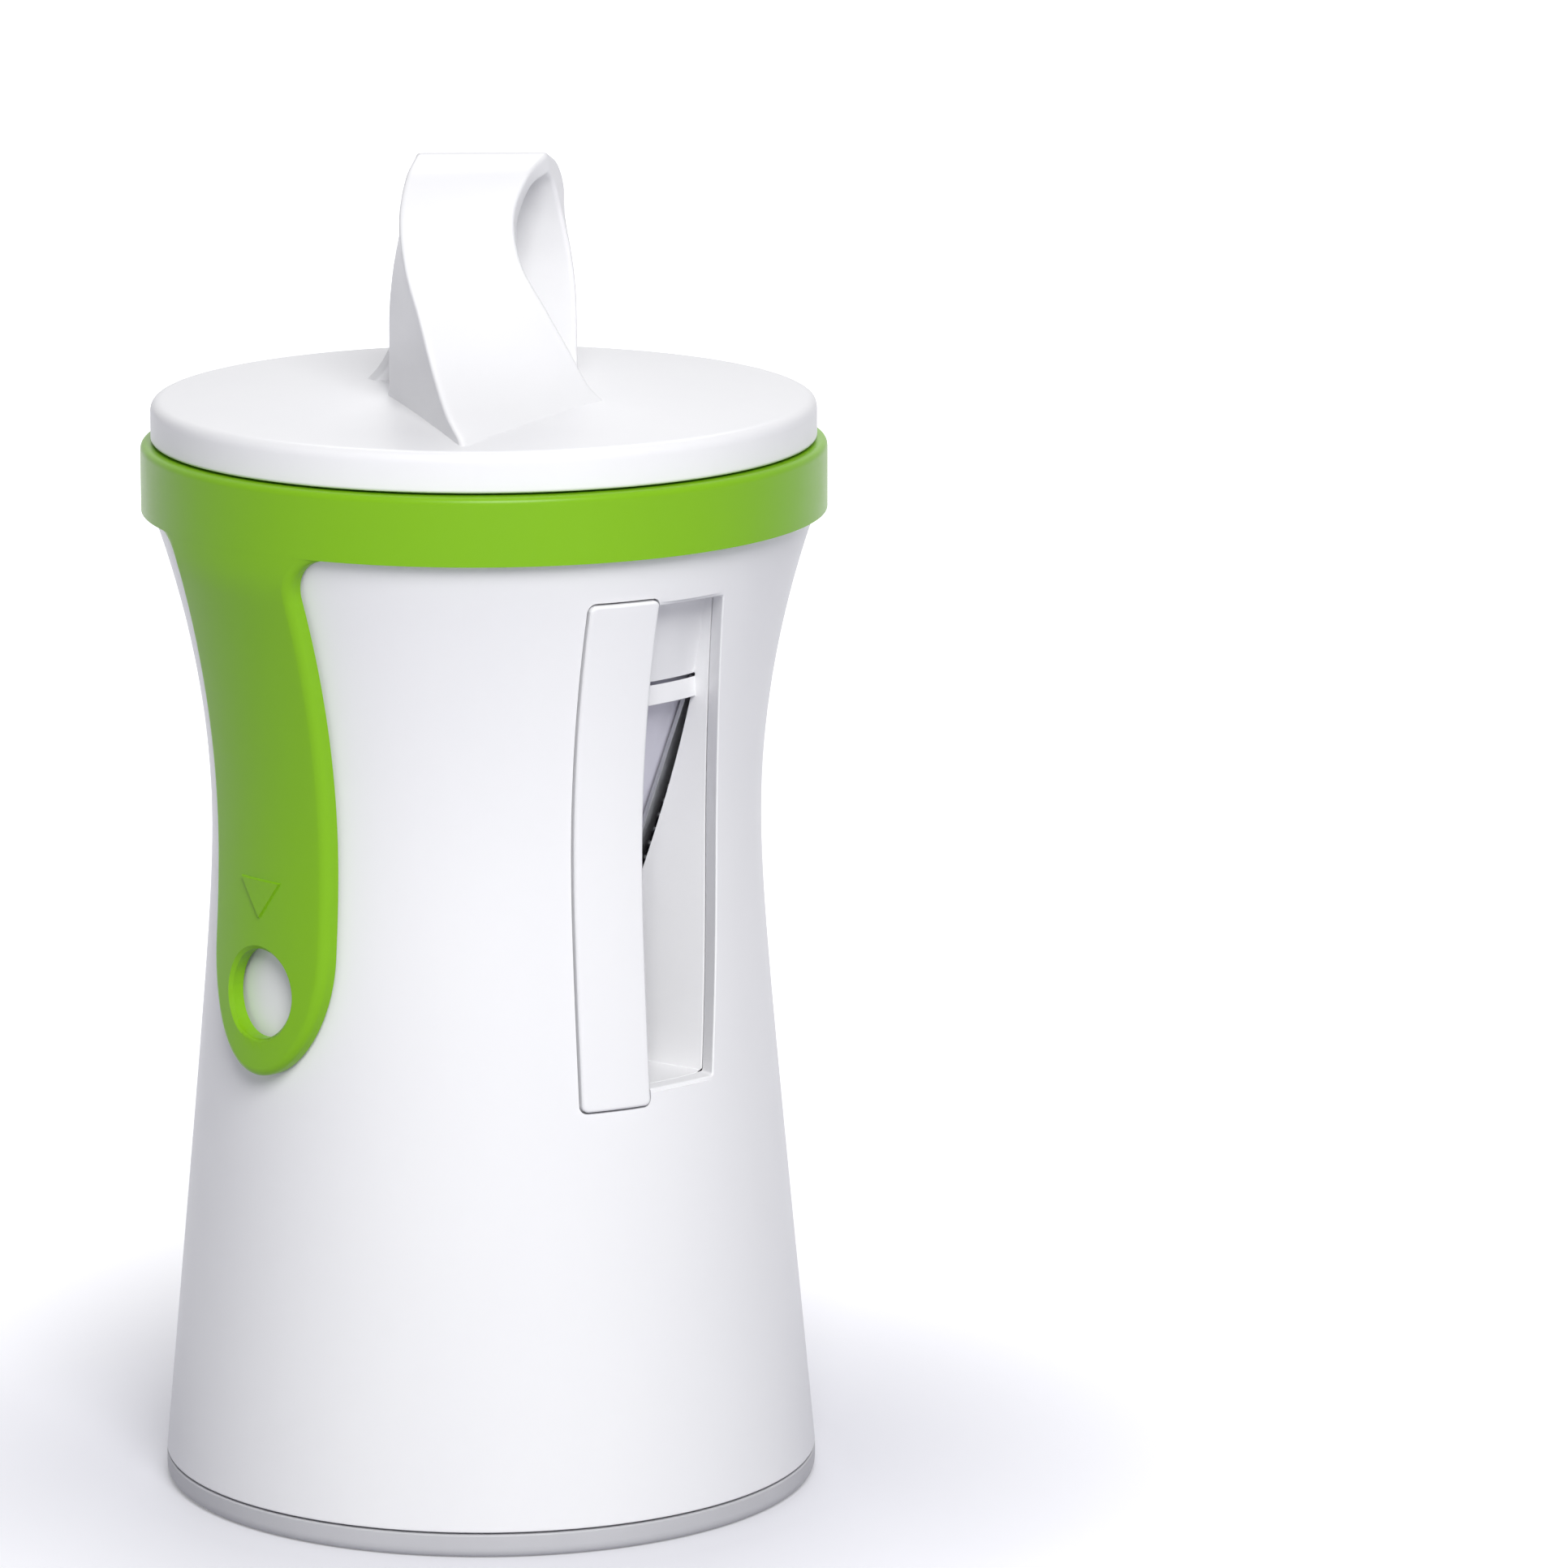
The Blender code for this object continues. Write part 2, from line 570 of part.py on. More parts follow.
def knife_point(across, height, lift):
    """A point of the flat knife, which lies along the slot on a plane that touches the cone there."""
    side = Vector((cos(STATION_BEARING), sin(STATION_BEARING), 0.0))
    on_cone = polar(STATION_BEARING, funnel_face(height), height)
    return on_cone + side * across + cone_normal(STATION_BEARING) * lift


def make_knife(funnel):
    edge = SLOT_WIDTH / 2.0 - KNIFE_OVERLAP
    back = edge + KNIFE_WIDTH
    low = STATION_LOW - SLOT_WIDTH / 2.0
    high = STATION_HIGH + SLOT_WIDTH / 2.0
    under = SEAT_GAP
    over = SEAT_GAP + KNIFE_THICKNESS
    section = [(edge, under), (back, under), (back, over), (edge + KNIFE_THICKNESS, over)]
    knife = lofted("straight_blade", [[knife_point(x, z, lift) for x, lift in section] for z in (low, high)],
                   BRUSHED_STEEL)
    rivet_line = edge + KNIFE_RIVET_LINE
    heights = spaced(low + KNIFE_RIVET_RISE, high - KNIFE_RIVET_DROP, KNIFE_RIVETS)
    for number, height in enumerate(heights, start=1):
        base = knife_point(rivet_line, height, 0.0)
        sag = rivet_line ** 2 / (2.0 * funnel_face(height))
        rivet("blade_rivet_" + str(number), base, cone_normal(STATION_BEARING), over,
              sag + RIVET_BITE * FUNNEL_WALL, (knife, funnel))


def rivet(name, base, normal, top, depth, held):
    """A rivet with its head over the top of what it holds, its shank down to a depth, and their hole."""
    head = top + SEAT_GAP
    bm = bmesh.new()
    stepped_pin(bm, base, normal,
                [(-depth, RIVET_RADIUS), (head, RIVET_RADIUS), (head, RIVET_HEAD_RADIUS),
                 (head + RIVET_HEAD_HEIGHT, RIVET_HEAD_TAPER * RIVET_HEAD_RADIUS)], steps=RIVET_ROUND)
    add_object(name, bm, BRUSHED_STEEL)
    hole = bmesh.new()
    rod(hole, base - normal * (depth + SEAT_GAP), base + normal * (head + TOOL_MARGIN),
        RIVET_RADIUS + SEAT_GAP, steps=RIVET_ROUND)
    tool = add_object(name + "_hole", hole, CUTTER_FINISH)
    for piece in held:
        combine(piece, tool)


def make_drum():
    rim_high = COLLAR_TOP - DRUM_RIM_DROP
    rim_low = rim_high - DRUM_RIM_HEIGHT
    flare_high = rim_low - DRUM_FLARE_DROP
    rim_bore = DRUM_RIM_RADIUS - DRUM_WALL
    flare_bore = rim_bore - DRUM_WALL
    profile = [(drum_bore(DRUM_LOW), DRUM_LOW), (drum_face(DRUM_LOW), DRUM_LOW),
               (drum_face(FUNNEL_TOP_HEIGHT), FUNNEL_TOP_HEIGHT), (flare_bore + DRUM_WALL, flare_high),
               (DRUM_RIM_RADIUS, rim_low), (DRUM_RIM_RADIUS, rim_high), (rim_bore, rim_high),
               (rim_bore, rim_low), (flare_bore, flare_high),
               (drum_bore(FUNNEL_TOP_HEIGHT), FUNNEL_TOP_HEIGHT)]
    drum = turned("comb_drum", profile, SATIN_PALE)
    stations = bmesh.new()
    for k in range(STATION_COUNT):
        angles = spaced(station_bearing(k) - STATION_HALF_ANGLE, station_bearing(k) + STATION_HALF_ANGLE, 4)
        loft(stations, [[polar(a, drum_face(z) + TOOL_MARGIN, z) for a in angles]
                        + [polar(a, drum_bore(z) - TOOL_MARGIN, z) for a in reversed(angles)]
                        for z in (STATION_LOW, STATION_HIGH)])
    combine(drum, add_object("drum_stations", stations, CUTTER_FINISH))
    return drum


def station_bearing(number):
    return STATION_BEARING + STATION_STEP * number


def comb_line(number, height, spans):
    """Points across the comb at a height: its frame on each side, and spans over the opening between."""
    middle = station_bearing(number)
    frame = COMB_FRAME / drum_face(height)
    opening = spaced(middle - STATION_HALF_ANGLE, middle + STATION_HALF_ANGLE, spans + 1)
    bearings = [opening[0] - frame] + opening + [opening[-1] + frame]
    return [polar(a, drum_face(height), height) + cone_normal(a) * SEAT_GAP for a in bearings]


def make_comb(name, number, pitch, drum):
    """A thin steel frame over one station, with a tooth across the opening at every pitch."""
    count = int((STATION_HIGH - STATION_LOW) / pitch + 0.01)
    first = (STATION_HIGH - STATION_LOW - (count - 1) * pitch) / 2.0
    rows = [STATION_LOW - COMB_FRAME, STATION_LOW]
    for k in range(count):
        middle = STATION_LOW + first + k * pitch
        rows += [middle - COMB_TOOTH / 2.0, middle + COMB_TOOTH / 2.0]
    rows += [STATION_HIGH, STATION_HIGH + COMB_FRAME]
    bm = bmesh.new()
    last = len(rows) - 1
    spans = [3 if row in (0, 1, last - 1, last) else 1 for row in range(len(rows))]
    grid = [[bm.verts.new(point) for point in comb_line(number, z, parts)] for z, parts in zip(rows, spans)]
    for row, (lower, upper) in enumerate(zip(grid, grid[1:])):
        if row % 2 == 0:
            pairs = [(c, c + 1) for c in range(len(lower) - 1)]
        else:
            pairs = [(0, 1), (-2, -1)]
        for near, far in pairs:
            bm.faces.new((lower[near], lower[far], upper[far], upper[near]))
    grown = bmesh.ops.extrude_face_region(bm, geom=bm.faces[:])
    outer = [item for item in grown["geom"] if isinstance(item, bmesh.types.BMVert)]
    for vert in outer:
        vert.co += cone_normal(atan2(vert.co.x, -vert.co.y)) * COMB_THICKNESS
    comb = add_object(name, bm, BRUSHED_STEEL)
    bearing = station_bearing(number)
    heights = {"low": STATION_LOW - COMB_FRAME / 2.0, "high": STATION_HIGH + COMB_FRAME / 2.0}
    for end, height in heights.items():
        rivet(name + "_rivet_" + end, polar(bearing, drum_face(height), height), cone_normal(bearing),
              SEAT_GAP + COMB_THICKNESS, RIVET_BITE * DRUM_WALL, (comb, drum))


def duct_high():
    return STATION_HIGH + RUN_GAP


def duct_inner(height):
    """Nearest radius of the duct to the drum, whose combs and rivets stand out from its face."""
    return max(drum_face(height) + CHUTE_ROOM, FUNNEL_FLANGE_RADIUS + RUN_GAP)


def hood_inner(height):
    """Nearest radius of the hood. Above the combs it comes closer to the drum than the duct does."""
    return drum_face(height) + (HOOD_ROOM if height >= hood_low() else CHUTE_ROOM)


def hood_low():
    return STATION_HIGH + COMB_FRAME + 2.0 * RUN_GAP


def chute_outer(height):
    return bore_radius(height) - SEAT_GAP


def window_bearing(across, radius):
    return BAR_BEARING + atan2(across, sqrt(radius ** 2 - across ** 2))


def chute_section(height, left, inner, wall, past):
    """Plan of the chute at a height, from a bearing to the window's right edge, grown by a wall."""
    face = chute_outer(height)
    right = window_bearing(window_right(height), face)
    near = spaced(left - wall / inner, right + wall / inner, 9)
    far = spaced(left - wall / face, right + wall / face, 9)
    return [polar(a, face + past, height) for a in far] + [polar(a, inner, height) for a in reversed(near)]


def make_chute():
    """A floor, two side walls and a roof from the drum to the shell, with a hood behind the window's top."""
    duct_left = STATION_BEARING - STATION_HALF_ANGLE
    duct_low = DECK_TOP + SEAT_GAP
    hood_high = WINDOW_HIGH + CHUTE_WALL
    hood_left = window_bearing(window_left(), chute_outer(WINDOW_HIGH))
    chute = lofted("noodle_chute", [chute_section(z, duct_left, duct_inner(z), CHUTE_WALL, 0.0)
                                    for z in spaced(duct_low, duct_high() + CHUTE_WALL, 7)], GLOSS_WHITE)
    hood_heights = [duct_high(), hood_low() - RUN_GAP] + spaced(hood_low(), hood_high, 4)
    hood = lofted("hood", [chute_section(z, hood_left, hood_inner(z), CHUTE_WALL, 0.0)
                           for z in hood_heights], CUTTER_FINISH)
    combine(chute, hood, "UNION")
    duct = [chute_section(z, duct_left, duct_inner(z) - DUCT_MARGIN, 0.0, DUCT_MARGIN)
            for z in spaced(duct_low + CHUTE_FLOOR, duct_high(), 7)]
    combine(chute, lofted("duct", duct, CUTTER_FINISH))
    pocket = [chute_section(z, hood_left, hood_inner(z) + HOOD_SKIN, 0.0, DUCT_MARGIN)
              for z in [duct_high() - RUN_GAP] + spaced(hood_low(), WINDOW_HIGH, 4)]
    combine(chute, lofted("hood_pocket", pocket, CUTTER_FINISH))
    return chute


def cap_top(radius):
    """Height of the cap's shallow crown at a radius."""
    return CAP_TOP + CAP_CROWN * (1.0 - (radius / CAP_RADIUS) ** 2)


def make_cap():
    spigot_low = CAP_LOW - SEAT_GAP - GUIDE_RING_HEIGHT - RUN_GAP - SPIGOT_LIP_HEIGHT
    ring_bore = MOUTH_RADIUS - RUN_GAP - GUIDE_RING_WALL
    spigot = ring_bore - RUN_GAP
    bore = spigot - SPIGOT_WALL
    plate_low = CAP_TOP - CAP_PLATE
    lip = ring_bore + SPIGOT_LIP
    edge = rounded(CAP_RADIUS - CAP_EDGE_ROUNDING, CAP_TOP - CAP_EDGE_ROUNDING, CAP_EDGE_ROUNDING, 0, 80)
    crown = [(r, cap_top(r)) for r in spaced(CAP_RADIUS - 2.0 * CAP_EDGE_ROUNDING, 0.0, 5)]
    profile = [(spigot, CAP_LOW), (CAP_RADIUS, CAP_LOW)] + edge + crown
    profile += [(0.0, plate_low), (bore, plate_low), (bore, spigot_low), (lip, spigot_low),
                (lip, spigot_low + SPIGOT_LIP_HEIGHT), (spigot, spigot_low + SPIGOT_LIP_HEIGHT)]
    cap = turned("cap", profile, GLOSS_WHITE)
    combine(cap, make_handle(), "UNION")
    return cap


def make_guide_ring():
    high = CAP_LOW - SEAT_GAP
    low = high - GUIDE_RING_HEIGHT
    outer = MOUTH_RADIUS - RUN_GAP
    bevel = RUN_GAP
    profile = [(outer - GUIDE_RING_WALL, low), (outer - bevel, low), (outer, low + bevel), (outer, high),
               (outer - GUIDE_RING_WALL, high)]
    return turned("guide_ring", profile, SATIN_PALE)


# The twisted handle is one ribbon, the same after half a turn. Each limb has four edges, given as
# (across, forward, rise) in millimetres from the middle of the cap's top, from the foot to the crown.
CREST_EDGE = [(4.6, -43.0, -1.6), (3.8, -40.6, 0.6), (0.9, -34.3, 3.2), (-2.1, -27.7, 8.0),
              (-4.6, -23.4, 14.0), (-7.2, -19.2, 20.0), (-8.8, -14.2, 26.0), (-9.0, -8.0, 30.6),
              (-8.7, -1.5, 32.9)]
OUTER_EDGE = [(18.6, -5.6, -1.6), (17.4, -6.4, 0.6), (15.3, -7.6, 3.2), (13.0, -9.0, 8.0),
              (10.0, -10.6, 14.0), (6.9, -11.2, 20.0), (5.8, -9.4, 26.0), (7.0, -4.8, 30.6),
              (8.7, 1.5, 32.9)]
INNER_EDGE = [(17.0, -4.4, -1.6), (16.0, -4.8, 0.6), (14.2, -5.4, 3.0), (12.0, -6.0, 7.6),
              (9.2, -7.0, 13.2), (6.4, -7.4, 18.6), (5.6, -5.6, 24.0), (6.8, -2.2, 28.4),
              (8.7, 1.5, 30.0)]
BACK_EDGE = [(-12.6, -6.0, -1.6), (-12.2, -6.0, 0.6), (-12.0, -6.1, 3.0), (-11.9, -6.4, 7.6),
             (-11.7, -6.8, 13.2), (-11.0, -6.8, 18.6), (-9.9, -5.8, 24.0), (-9.2, -3.6, 28.4),
             (-8.7, -1.5, 30.0)]


def smooth_through(points):
    """The points with one more between each pair, on a Catmull-Rom curve through them."""
    ends = [2.0 * points[0] - points[1]] + points + [2.0 * points[-1] - points[-2]]
    curve = []
    for before, start, end, after in zip(ends, ends[1:], ends[2:], ends[3:]):
        curve += [start, (9.0 * (start + end) - before - after) / 16.0]
    return curve + [points[-1]]


def edge_points(edge):
    """An edge of the ribbon in metres, its rise drawn to the handle's height."""
    stretch = HANDLE_HEIGHT / (CREST_EDGE[-1][2] * MM)
    cap_middle = Vector((0.0, 0.0, CAP_TOP))
    return smooth_through([Vector((x, y, z * stretch)) * MM + cap_middle for x, y, z in edge])


def handle_ring(crest, outer, inner, back):
    """One closed ring of the ribbon: its outer face, thin edge, inner face and flank."""
    thirds = (0.0, 1.0 / 3.0, 2.0 / 3.0)
    halves = (0.0, 0.5)
    face = [crest.lerp(outer, t) for t in thirds]
    edge = [outer.lerp(inner, t) for t in halves]
    under = [inner.lerp(back, t) for t in thirds]
    flank = [back.lerp(crest, t) for t in halves]
    return face + edge + under + flank


def make_handle():
    edges = [edge_points(edge) for edge in (CREST_EDGE, OUTER_EDGE, INNER_EDGE, BACK_EDGE)]
    front = list(zip(*edges))
    half_turn = Matrix.Rotation(pi, 4, "Z")
    rear = [[half_turn @ point for point in ring] for ring in front[:-1]]
    sections = [handle_ring(*ring) for ring in front]
    for crest, outer, inner, back in reversed(rear):
        sections.append(handle_ring(outer, crest, back, inner))
    return lofted("handle_form", sections, CUTTER_FINISH)


def make_prongs():
    seat = CAP_TOP - CAP_PLATE - SEAT_GAP
    under = seat - PLATE_THICKNESS - SEAT_GAP
    tip = under - PRONG_LENGTH
    profile = [(0.0, seat), (PRONG_RADIUS, seat), (PRONG_RADIUS, under), (PRONG_COLLAR_RADIUS, under),
               (PRONG_COLLAR_RADIUS, under - PRONG_COLLAR_HEIGHT),
               (PRONG_RADIUS, under - PRONG_COLLAR_HEIGHT), (PRONG_RADIUS, tip + PRONG_TIP), (0.0, tip)]
    places = [Vector((0.0, 0.0, 0.0))] + circle_places(PRONG_COUNT, PRONG_CIRCLE)
    for number, place in enumerate(places):
        bm = bmesh.new()
        turn(bm, list(reversed(profile)), SMALL_ROUND, (place.x, place.y))
        add_object("prong_" + str(number), bm, BRUSHED_STEEL)
    return places


def make_prong_plate(cap):
    seat = CAP_TOP - CAP_PLATE - SEAT_GAP
    low = seat - PLATE_THICKNESS
    disc = bmesh.new()
    rod(disc, Vector((0.0, 0.0, low)), Vector((0.0, 0.0, seat)), PLATE_RADIUS, steps=ROUND)
    plate = add_object("prong_plate", disc, SATIN_PALE)
    holes = bmesh.new()
    for place in make_prongs():
        rod(holes, place + Vector((0.0, 0.0, low - TOOL_MARGIN)),
            place + Vector((0.0, 0.0, seat + TOOL_MARGIN)), PRONG_RADIUS + SEAT_GAP)
    combine(plate, add_object("prong_holes", holes, CUTTER_FINISH))
    places = circle_places(PLATE_SCREWS, PLATE_SCREW_CIRCLE, pi / PRONG_COUNT)
    tip = seat + PLATE_SCREW_REACH
    screws("plate_screws", places, low - SEAT_GAP, tip - SEAT_GAP)
    holes = screw_holes("plate_screw_holes", places, low - TOOL_MARGIN, tip)
    combine(plate, holes)
    combine(cap, holes)


shell = make_shell()
cut_shell_for_window(shell)
cut_shell_for_bar(shell)
deck = make_deck()
make_foot_ring()
make_throat_bar()

funnel = make_funnel()
make_knife(funnel)
funnel_places = circle_places(FUNNEL_SCREWS, FUNNEL_SCREW_CIRCLE, STATION_BEARING + pi / FUNNEL_SCREWS)
screws("funnel_screws", funnel_places, DECK_LOW - SEAT_GAP, FLANGE_TOP - 2.0 * SEAT_GAP)
funnel_holes = screw_holes("funnel_screw_holes", funnel_places, DECK_LOW - TOOL_MARGIN, FLANGE_TOP - SEAT_GAP)
combine(deck, funnel_holes)
combine(funnel, funnel_holes)

chute = make_chute()
chute_places = [polar(CHUTE_SCREW_BEARING, reach, 0.0) for reach in CHUTE_SCREW_REACHES]
chute_screw_tip = DECK_TOP + SEAT_GAP + CHUTE_FLOOR - 2.0 * SEAT_GAP
screws("chute_screws", chute_places, DECK_LOW - SEAT_GAP, chute_screw_tip)
chute_holes = screw_holes("chute_screw_holes", chute_places, DECK_LOW - TOOL_MARGIN,
                          chute_screw_tip + SEAT_GAP)
combine(deck, chute_holes)
combine(chute, chute_holes)

make_collar()
drum = make_drum()
for number, (comb_name, pitch) in enumerate(COMB_PITCHES.items(), start=1):
    make_comb(comb_name, number, pitch, drum)

cap = make_cap()
make_guide_ring()
make_prong_plate(cap)
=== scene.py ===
"""Dressed model of the hand-held hourglass cutter: fine mouldings, ground steel and soft studio light.

Lengths are in metres, Z is up and the origin is the middle of the foot. Bearings round the axis are counted
from -Y towards +X.
"""
from math import asin, atan2, cos, hypot, pi, radians, sin, sqrt, tan

import bmesh
import bpy
from mathutils import Matrix, Vector


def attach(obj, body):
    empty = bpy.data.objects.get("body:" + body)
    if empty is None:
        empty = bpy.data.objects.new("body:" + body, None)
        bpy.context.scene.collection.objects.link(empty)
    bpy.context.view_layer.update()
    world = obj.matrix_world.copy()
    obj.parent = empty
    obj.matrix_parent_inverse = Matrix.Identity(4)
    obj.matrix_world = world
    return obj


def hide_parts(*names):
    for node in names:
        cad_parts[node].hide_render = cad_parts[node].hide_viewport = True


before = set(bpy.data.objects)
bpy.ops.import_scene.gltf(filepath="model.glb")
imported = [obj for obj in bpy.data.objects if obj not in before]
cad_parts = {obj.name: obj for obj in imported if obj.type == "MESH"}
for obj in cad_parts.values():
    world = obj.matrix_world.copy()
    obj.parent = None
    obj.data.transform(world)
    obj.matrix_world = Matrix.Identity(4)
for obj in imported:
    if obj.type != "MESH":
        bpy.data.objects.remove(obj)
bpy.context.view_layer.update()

# The camera looks at the part from a little above and a little to the right of its front, through a long
# lens. Film width and focal length are in millimetres, and the angles in degrees.
CAMERA_PLACE = (0.1918, -1.1339, 0.340)
CAMERA_DIP = 12.01
CAMERA_SWING = 7.6
CAMERA_REACH = 60.0
FILM_WIDTH = 36.0
FOCAL_LENGTH = 199.7
camera_data = bpy.data.cameras.new("front_camera")
camera_data.sensor_width = FILM_WIDTH
camera_data.lens = FOCAL_LENGTH
camera_data.clip_end = CAMERA_REACH
camera = bpy.data.objects.new("front_camera", camera_data)
camera.location = CAMERA_PLACE
camera.rotation_euler = (radians(90.0 - CAMERA_DIP), 0.0, radians(CAMERA_SWING))
bpy.context.scene.collection.objects.link(camera)
bpy.context.scene.camera = camera


class Wire:
    """A socket of a node tree. Its sums and products are Math nodes, and node() adds any other node."""

    def __init__(self, socket):
        self.socket = socket

    def node(self, kind, settings, sockets, output=0):
        made = self.socket.id_data.nodes.new(kind)
        for name, value in settings.items():
            setattr(made, name, value)
        for name, value in sockets.items():
            if isinstance(value, Wire):
                value.into(made.inputs[name])
            else:
                made.inputs[name].default_value = value
        return Wire(made.outputs[output])

    def into(self, socket):
        self.socket.id_data.links.new(self.socket, socket)

    def math(self, operation, first, second):
        return self.node("ShaderNodeMath", {"operation": operation}, {0: first, 1: second})

    def __add__(self, other):
        return self.math("ADD", self, other)

    def __radd__(self, other):
        return self.math("ADD", other, self)

    def __sub__(self, other):
        return self.math("SUBTRACT", self, other)

    def __rsub__(self, other):
        return self.math("SUBTRACT", other, self)

    def __mul__(self, other):
        return self.math("MULTIPLY", self, other)

    def __rmul__(self, other):
        return self.math("MULTIPLY", other, self)

    def held(self, low, high):
        """The value drawn from 0..1 where it lies between low and high, and flat beyond them."""
        return self.node("ShaderNodeMapRange", {"clamp": True},
                         {"Value": self, "From Min": low, "From Max": high, "To Min": 0.0, "To Max": 1.0})

    def noise(self, scale, detail):
        return self.node("ShaderNodeTexNoise", {}, {"Vector": self, "Scale": scale, "Detail": detail})

    def stretched(self, factors):
        return self.node("ShaderNodeVectorMath", {"operation": "MULTIPLY"}, {0: self, 1: factors})

    def blend(self, low, high):
        """The colour low where this value is 0 and the colour high where it is 1."""
        return self.node("ShaderNodeMix", {"data_type": "RGBA"},
                         {0: self, 6: (*low, 1.0), 7: (*high, 1.0)}, output=2)


# The studio is a pale floor under two soft lamps. The floor and the sky are white to the camera, to gloss
# and to glass, and the floor keeps the part's shadow. Near the part, a weaker white lift paints the floor a
# shade darker. A weak, slightly cool sky fills the shade.
FLOOR_REACH = 24.0
PAPER_SCALE = 3.0
PAPER_DETAIL = 3.0
PURE_WHITE = (1.0, 1.0, 1.0, 1.0)
SKY_SHADE = (0.88, 0.88, 1.0)
SKY_STRENGTH = 0.19
FLOOR_PALE = (0.56, 0.56, 0.61)
FLOOR_PALER = (0.58, 0.58, 0.62)
FLOOR_LIFT = 0.25
# Between two distances from the part, the floor's lift rises by so much. The floor nearer the part gets
# less lift, which paints it a shade darker there.
PAINTED_SHADE_FADE = ((0.05, 0.13, 0.45), (0.08, 0.4, 0.35))
# Each lamp's bearing in degrees, its distance, height and width in metres, its power in watts and its colour.
LAMPS = {"key_lamp": (18.0, 1.42, 1.18, 0.9, 30.0, (1.0, 1.0, 0.99)),
         "back_lamp": (186.0, 1.4, 1.5, 1.0, 8.5, (0.98, 0.98, 1.0))}
LAMP_AIM = Vector((0.0, 0.0, 0.09))

floor_corners = [(x * FLOOR_REACH, y * FLOOR_REACH, 0.0) for x, y in ((-1, -1), (1, -1), (1, 1), (-1, 1))]
floor_mesh = bpy.data.meshes.new("floor")
floor_mesh.from_pydata(floor_corners, [], [(0, 1, 2, 3)])
floor = bpy.data.objects.new("floor", floor_mesh)
bpy.context.scene.collection.objects.link(floor)


def seen_directly(tree):
    """1 for rays from the camera, from gloss and through glass, and 0 for light that falls on the part."""
    path = tree.nodes.new("ShaderNodeLightPath")
    camera_ray, glossy, through = (Wire(path.outputs[name]) for name in
                                   ("Is Camera Ray", "Is Glossy Ray", "Is Transmission Ray"))
    return camera_ray.math("MAXIMUM", camera_ray, glossy.math("MAXIMUM", glossy, through))


floor_material = bpy.data.materials.new("pale_floor")
floor_material.use_nodes = True
floor_tree = floor_material.node_tree
floor_tree.nodes.clear()
seen = seen_directly(floor_tree)
floor_place = Wire(floor_tree.nodes.new("ShaderNodeTexCoord").outputs["Object"])
paper_colour = floor_place.noise(PAPER_SCALE, PAPER_DETAIL).blend(FLOOR_PALE, FLOOR_PALER)
from_part = floor_place.node("ShaderNodeVectorMath", {"operation": "LENGTH"}, {0: floor_place}, output=1)
# The lift is weaker near the part, which paints a grey shade on the floor round the foot.
lift_strength = FLOOR_LIFT
for near, far, rise in PAINTED_SHADE_FADE:
    lift_strength = lift_strength + from_part.held(near, far) * rise
matt = seen.node("ShaderNodeBsdfDiffuse", {}, {"Color": paper_colour})
lift = seen.node("ShaderNodeEmission", {}, {"Color": PURE_WHITE, "Strength": lift_strength})
lifted = seen.node("ShaderNodeAddShader", {}, {0: matt, 1: lift})
floor_look = seen.node("ShaderNodeMixShader", {}, {0: seen, 1: matt, 2: lifted})
floor_look.into(floor_tree.nodes.new("ShaderNodeOutputMaterial").inputs["Surface"])
floor_mesh.materials.append(floor_material)

sky = bpy.data.worlds.new("soft_sky")
bpy.context.scene.world = sky
sky.use_nodes = True
sky.node_tree.nodes.clear()
seen = seen_directly(sky.node_tree)
shade = seen.node("ShaderNodeBackground", {}, {"Color": (*SKY_SHADE, 1.0), "Strength": SKY_STRENGTH})
white = seen.node("ShaderNodeBackground", {}, {"Color": PURE_WHITE, "Strength": 1.0})
sky_look = seen.node("ShaderNodeMixShader", {}, {0: seen, 1: shade, 2: white})
sky_look.into(sky.node_tree.nodes.new("ShaderNodeOutputWorld").inputs["Surface"])


def polar(bearing, radius, height):
    return Vector((radius * sin(bearing), -radius * cos(bearing), height))


for name, (bearing, distance, height, width, power, colour) in LAMPS.items():
    lamp_data = bpy.data.lights.new(name, "AREA")
    lamp_data.shape = "DISK"
    lamp_data.size = width
    lamp_data.energy = power
    lamp_data.color = colour
    lamp = bpy.data.objects.new(name, lamp_data)
    lamp.location = polar(radians(bearing), distance, height)
    lamp.rotation_euler = (LAMP_AIM - lamp.location).to_track_quat("-Z", "Y").to_euler()
    bpy.context.scene.collection.objects.link(lamp)

# The body shell is one white injection moulding with a soft gloss, shaped like an hourglass. A thin neck
# round its top carries the collar, and a window is cut beside the throat bar. The wall is thinner below a
# step, and the deck is pushed up against it.
MM = 0.001
SEAT_GAP = 0.3 * MM
RUN_GAP = 0.4 * MM
FOOT_HEIGHT = 3.3 * MM
SHELL_LOW = FOOT_HEIGHT + SEAT_GAP
WAIST_RADIUS = 37.1 * MM
WAIST_HEIGHT = 92.0 * MM
WAIST_ROUNDNESS = 1.3 * MM
SHOULDER_HEIGHT = 133.5 * MM
SHOULDER_POWER = 1.95
BASE_RADIUS = 44.4 * MM
SHELL_WALL = 2.6 * MM
LOWER_WALL = 1.6 * MM
NECK_BORE = 43.3 * MM
LEDGE_HEIGHT = 134.5 * MM
NECK_TOP = 138.3 * MM
DECK_TOP = 58.3 * MM
STEP_HEIGHT = DECK_TOP + SEAT_GAP
BAR_BEARING = radians(35.0)
BAR_WIDTH = 10.0 * MM
BAR_LOW = 59.0 * MM
BAR_HIGH = 127.5 * MM
BAR_CORNER = 0.9 * MM
BAR_SUNK = 1.2 * MM
WINDOW_LOW = 61.0 * MM
WINDOW_HIGH = 126.6 * MM
WINDOW_WIDTH = 11.0 * MM
WINDOW_BULGE = 2.4 * MM
WINDOW_UNDERLAP = 0.3 * MM
WINDOW_CORNER = 0.5 * MM
WINDOW_RIM = 0.3 * MM
PEG_RADIUS = 1.0 * MM
